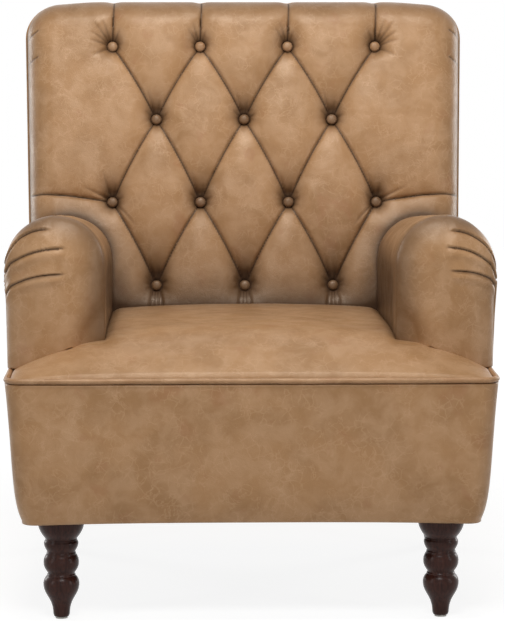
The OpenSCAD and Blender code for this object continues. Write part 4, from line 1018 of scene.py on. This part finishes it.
# The legs: solid birch, turned at the front and tapered square at the rear, stained nearly
# black under a satin lacquer that shows small soft highlights. A bolt in the top of each
# leg screws into a plate under the frame.
def speckled(name, light, dark, speck_mm, rough, metal=0.0, stretch=(1, 1, 1), detail=5.0,
             full=0.68, relief=(0.4, 0.0004), specular=0.5):
    """A material of two colours, in specks, or in streaks where it is stretched. The second
    colour is whole where the noise is full. The relief is a strength and a height in metres."""
    material, tree = bare_material(name)
    where = add(tree, "TexCoord").outputs["Object"]
    drawn = add(tree, "Mapping", {"Vector": where}, in_Scale=stretch)
    speck = add(tree, "TexNoise", {"Vector": drawn.outputs[0]},
                in_Scale=1000 / speck_mm, in_Detail=detail, in_Roughness=0.6)
    tone = add(tree, "MapRange", {"Value": speck.outputs["Fac"]},
               in_From_Min=0.35, in_From_Max=full)
    tint = add(tree, "Mix", {"Factor": tone.outputs[0], "A": rgb(light), "B": rgb(dark)},
               data_type="RGBA")
    bumps = add(tree, "Bump", {"Height": speck.outputs["Fac"]},
                in_Strength=relief[0], in_Distance=relief[1])
    body = add(tree, "BsdfPrincipled",
               {"Base Color": tint.outputs["Result"], "Normal": bumps.outputs[0]},
               in_Roughness=rough, in_Metallic=metal, in_Specular_IOR_Level=specular)
    add(tree, "OutputMaterial", {"Surface": body.outputs[0]})
    return material


# The stain's streaks are 3.5 mm apart, and drawn out along the leg.
dark_wood = speckled("stained_birch", "#43251d", "#29130e", 3.5, 0.27, stretch=(1, 1, 0.09),
                     detail=4.0, full=0.7, relief=(0.08, 0.0003), specular=0.16)

# The turning, from its foot to its top: height and radius at each place the gouge stopped.
TURNING = [(3, 11.2), (4.2, 12.0), (7, 12.8), (12, 13.2), (18, 14.0), (25.5, 16.3), (31, 19.0),
           (36.4, 22.2), (42, 25.2), (47.2, 27.1), (52, 27.9), (56.5, 28.0), (61, 26.9),
           (64.6, 25.0), (67.3, 22.6), (68.0, 21.9), (68.6, 22.1), (69.8, 22.0), (70.4, 20.9),
           (72.5, 21.1), (75.5, 23.2), (79.8, 25.8), (84.5, 27.3), (89.5, 27.6), (94.5, 26.9),
           (99.3, 24.8), (102.2, 22.8), (102.8, 22.9), (104.0, 22.8), (104.6, 21.9),
           (107, 22.3), (110, 24.2), (113.4, 25.8), (116.5, 26.7), (119.4, 26.9), (121.8, 26.2),
           (123.4, 24.9), (123.9, 24.9), (125.0, 24.8), (125.4, 24.1), (127.5, 25.3),
           (131.9, 28.9), (137, 32.0), (142.8, 34.6), (148, 35.8), (153, 36.0), (162.9, 36.0)]
FRONT_LEG = (296.5, -325.0)
REAR_LEG_TOP, REAR_LEG_FOOT = (310.0, 168.95), (334.0, 213.95)
REAR_LEG_TOP_W, REAR_LEG_FOOT_W = 40.0, 26.0
LEG_FOOT_Z, LEG_TOP = 3.0, 162.9


def turned_leg(side):
    """A front leg, turned in one piece from its foot to its top."""
    outline = [(0.0, LEG_FOOT_Z)] + [(r, z) for z, r in TURNING] + [(0.0, LEG_TOP)]
    made = turned(outline, 72)
    bmesh.ops.translate(made, vec=(side * FRONT_LEG[0], FRONT_LEG[1], 0), verts=made.verts)
    return made


def tapered_leg(side):
    """A rear leg: square, tapered, and splayed from its top to its foot."""
    made = bmesh.new()
    bmesh.ops.create_cube(made, size=1)
    for v in made.verts:
        at, width, z = (REAR_LEG_FOOT, REAR_LEG_FOOT_W, LEG_FOOT_Z)
        if v.co.z > 0:
            at, width, z = (REAR_LEG_TOP, REAR_LEG_TOP_W, LEG_TOP)
        v.co = (side * at[0] + v.co.x * width, at[1] + v.co.y * width, z)
    bmesh.ops.bevel(made, geom=made.edges, offset=2.2, affect="EDGES", segments=3,
                    profile=0.5, material=-1)
    return made


for side, word in SIDES:
    finish_piece("turned_leg_" + word, turned_leg(side), dark_wood, "dark_wood",
                 "front_leg_" + word)
    finish_piece("tapered_leg_" + word, tapered_leg(side), dark_wood, "dark_wood",
                 "rear_leg_" + word)


# What the leather hides: the hardwood frame, springs, webbing, foam and fittings keep their
# solids, each with the finish that such a piece has.

# To the eye poplar has long pale streaks and zinc plate a soft spangle. Felt, jute and board
# are flecked and dull, cut foam is finely pitted, and nylon is smooth.
INNER = {
    "timber": speckled("planed_poplar", "#cdb083", "#b08f60", 6, 0.6, 0, (1, 0.08, 1)),
    "steel": speckled("zinc_plated_steel", "#a9acb0", "#8c9095", 14, 0.32, 1.0),
    "felt": speckled("pressed_felt", "#b8a27a", "#8f7a58", 3, 0.95),
    "foam": speckled("cut_foam", "#ece3c4", "#d9cda6", 1.6, 0.95),
    "webbing": speckled("woven_jute", "#bda374", "#917a4e", 2.2, 0.9),
    "nylon": speckled("moulded_nylon", "#dcdad3", "#cfccc4", 20, 0.45),
    "board": speckled("pressed_board", "#a08e73", "#877559", 4, 0.85),
    "dust_cloth": speckled("spun_dust_cloth", "#2f2d2d", "#1f1e1e", 2, 0.95),
}
for part in frame["record"]["subparts"]:
    node = frame["nodes"][part["node"]]
    if part["material_slot"] in INNER and not node.hide_render:
        node.data.materials.clear()
        node.data.materials.append(INNER[part["material_slot"]])
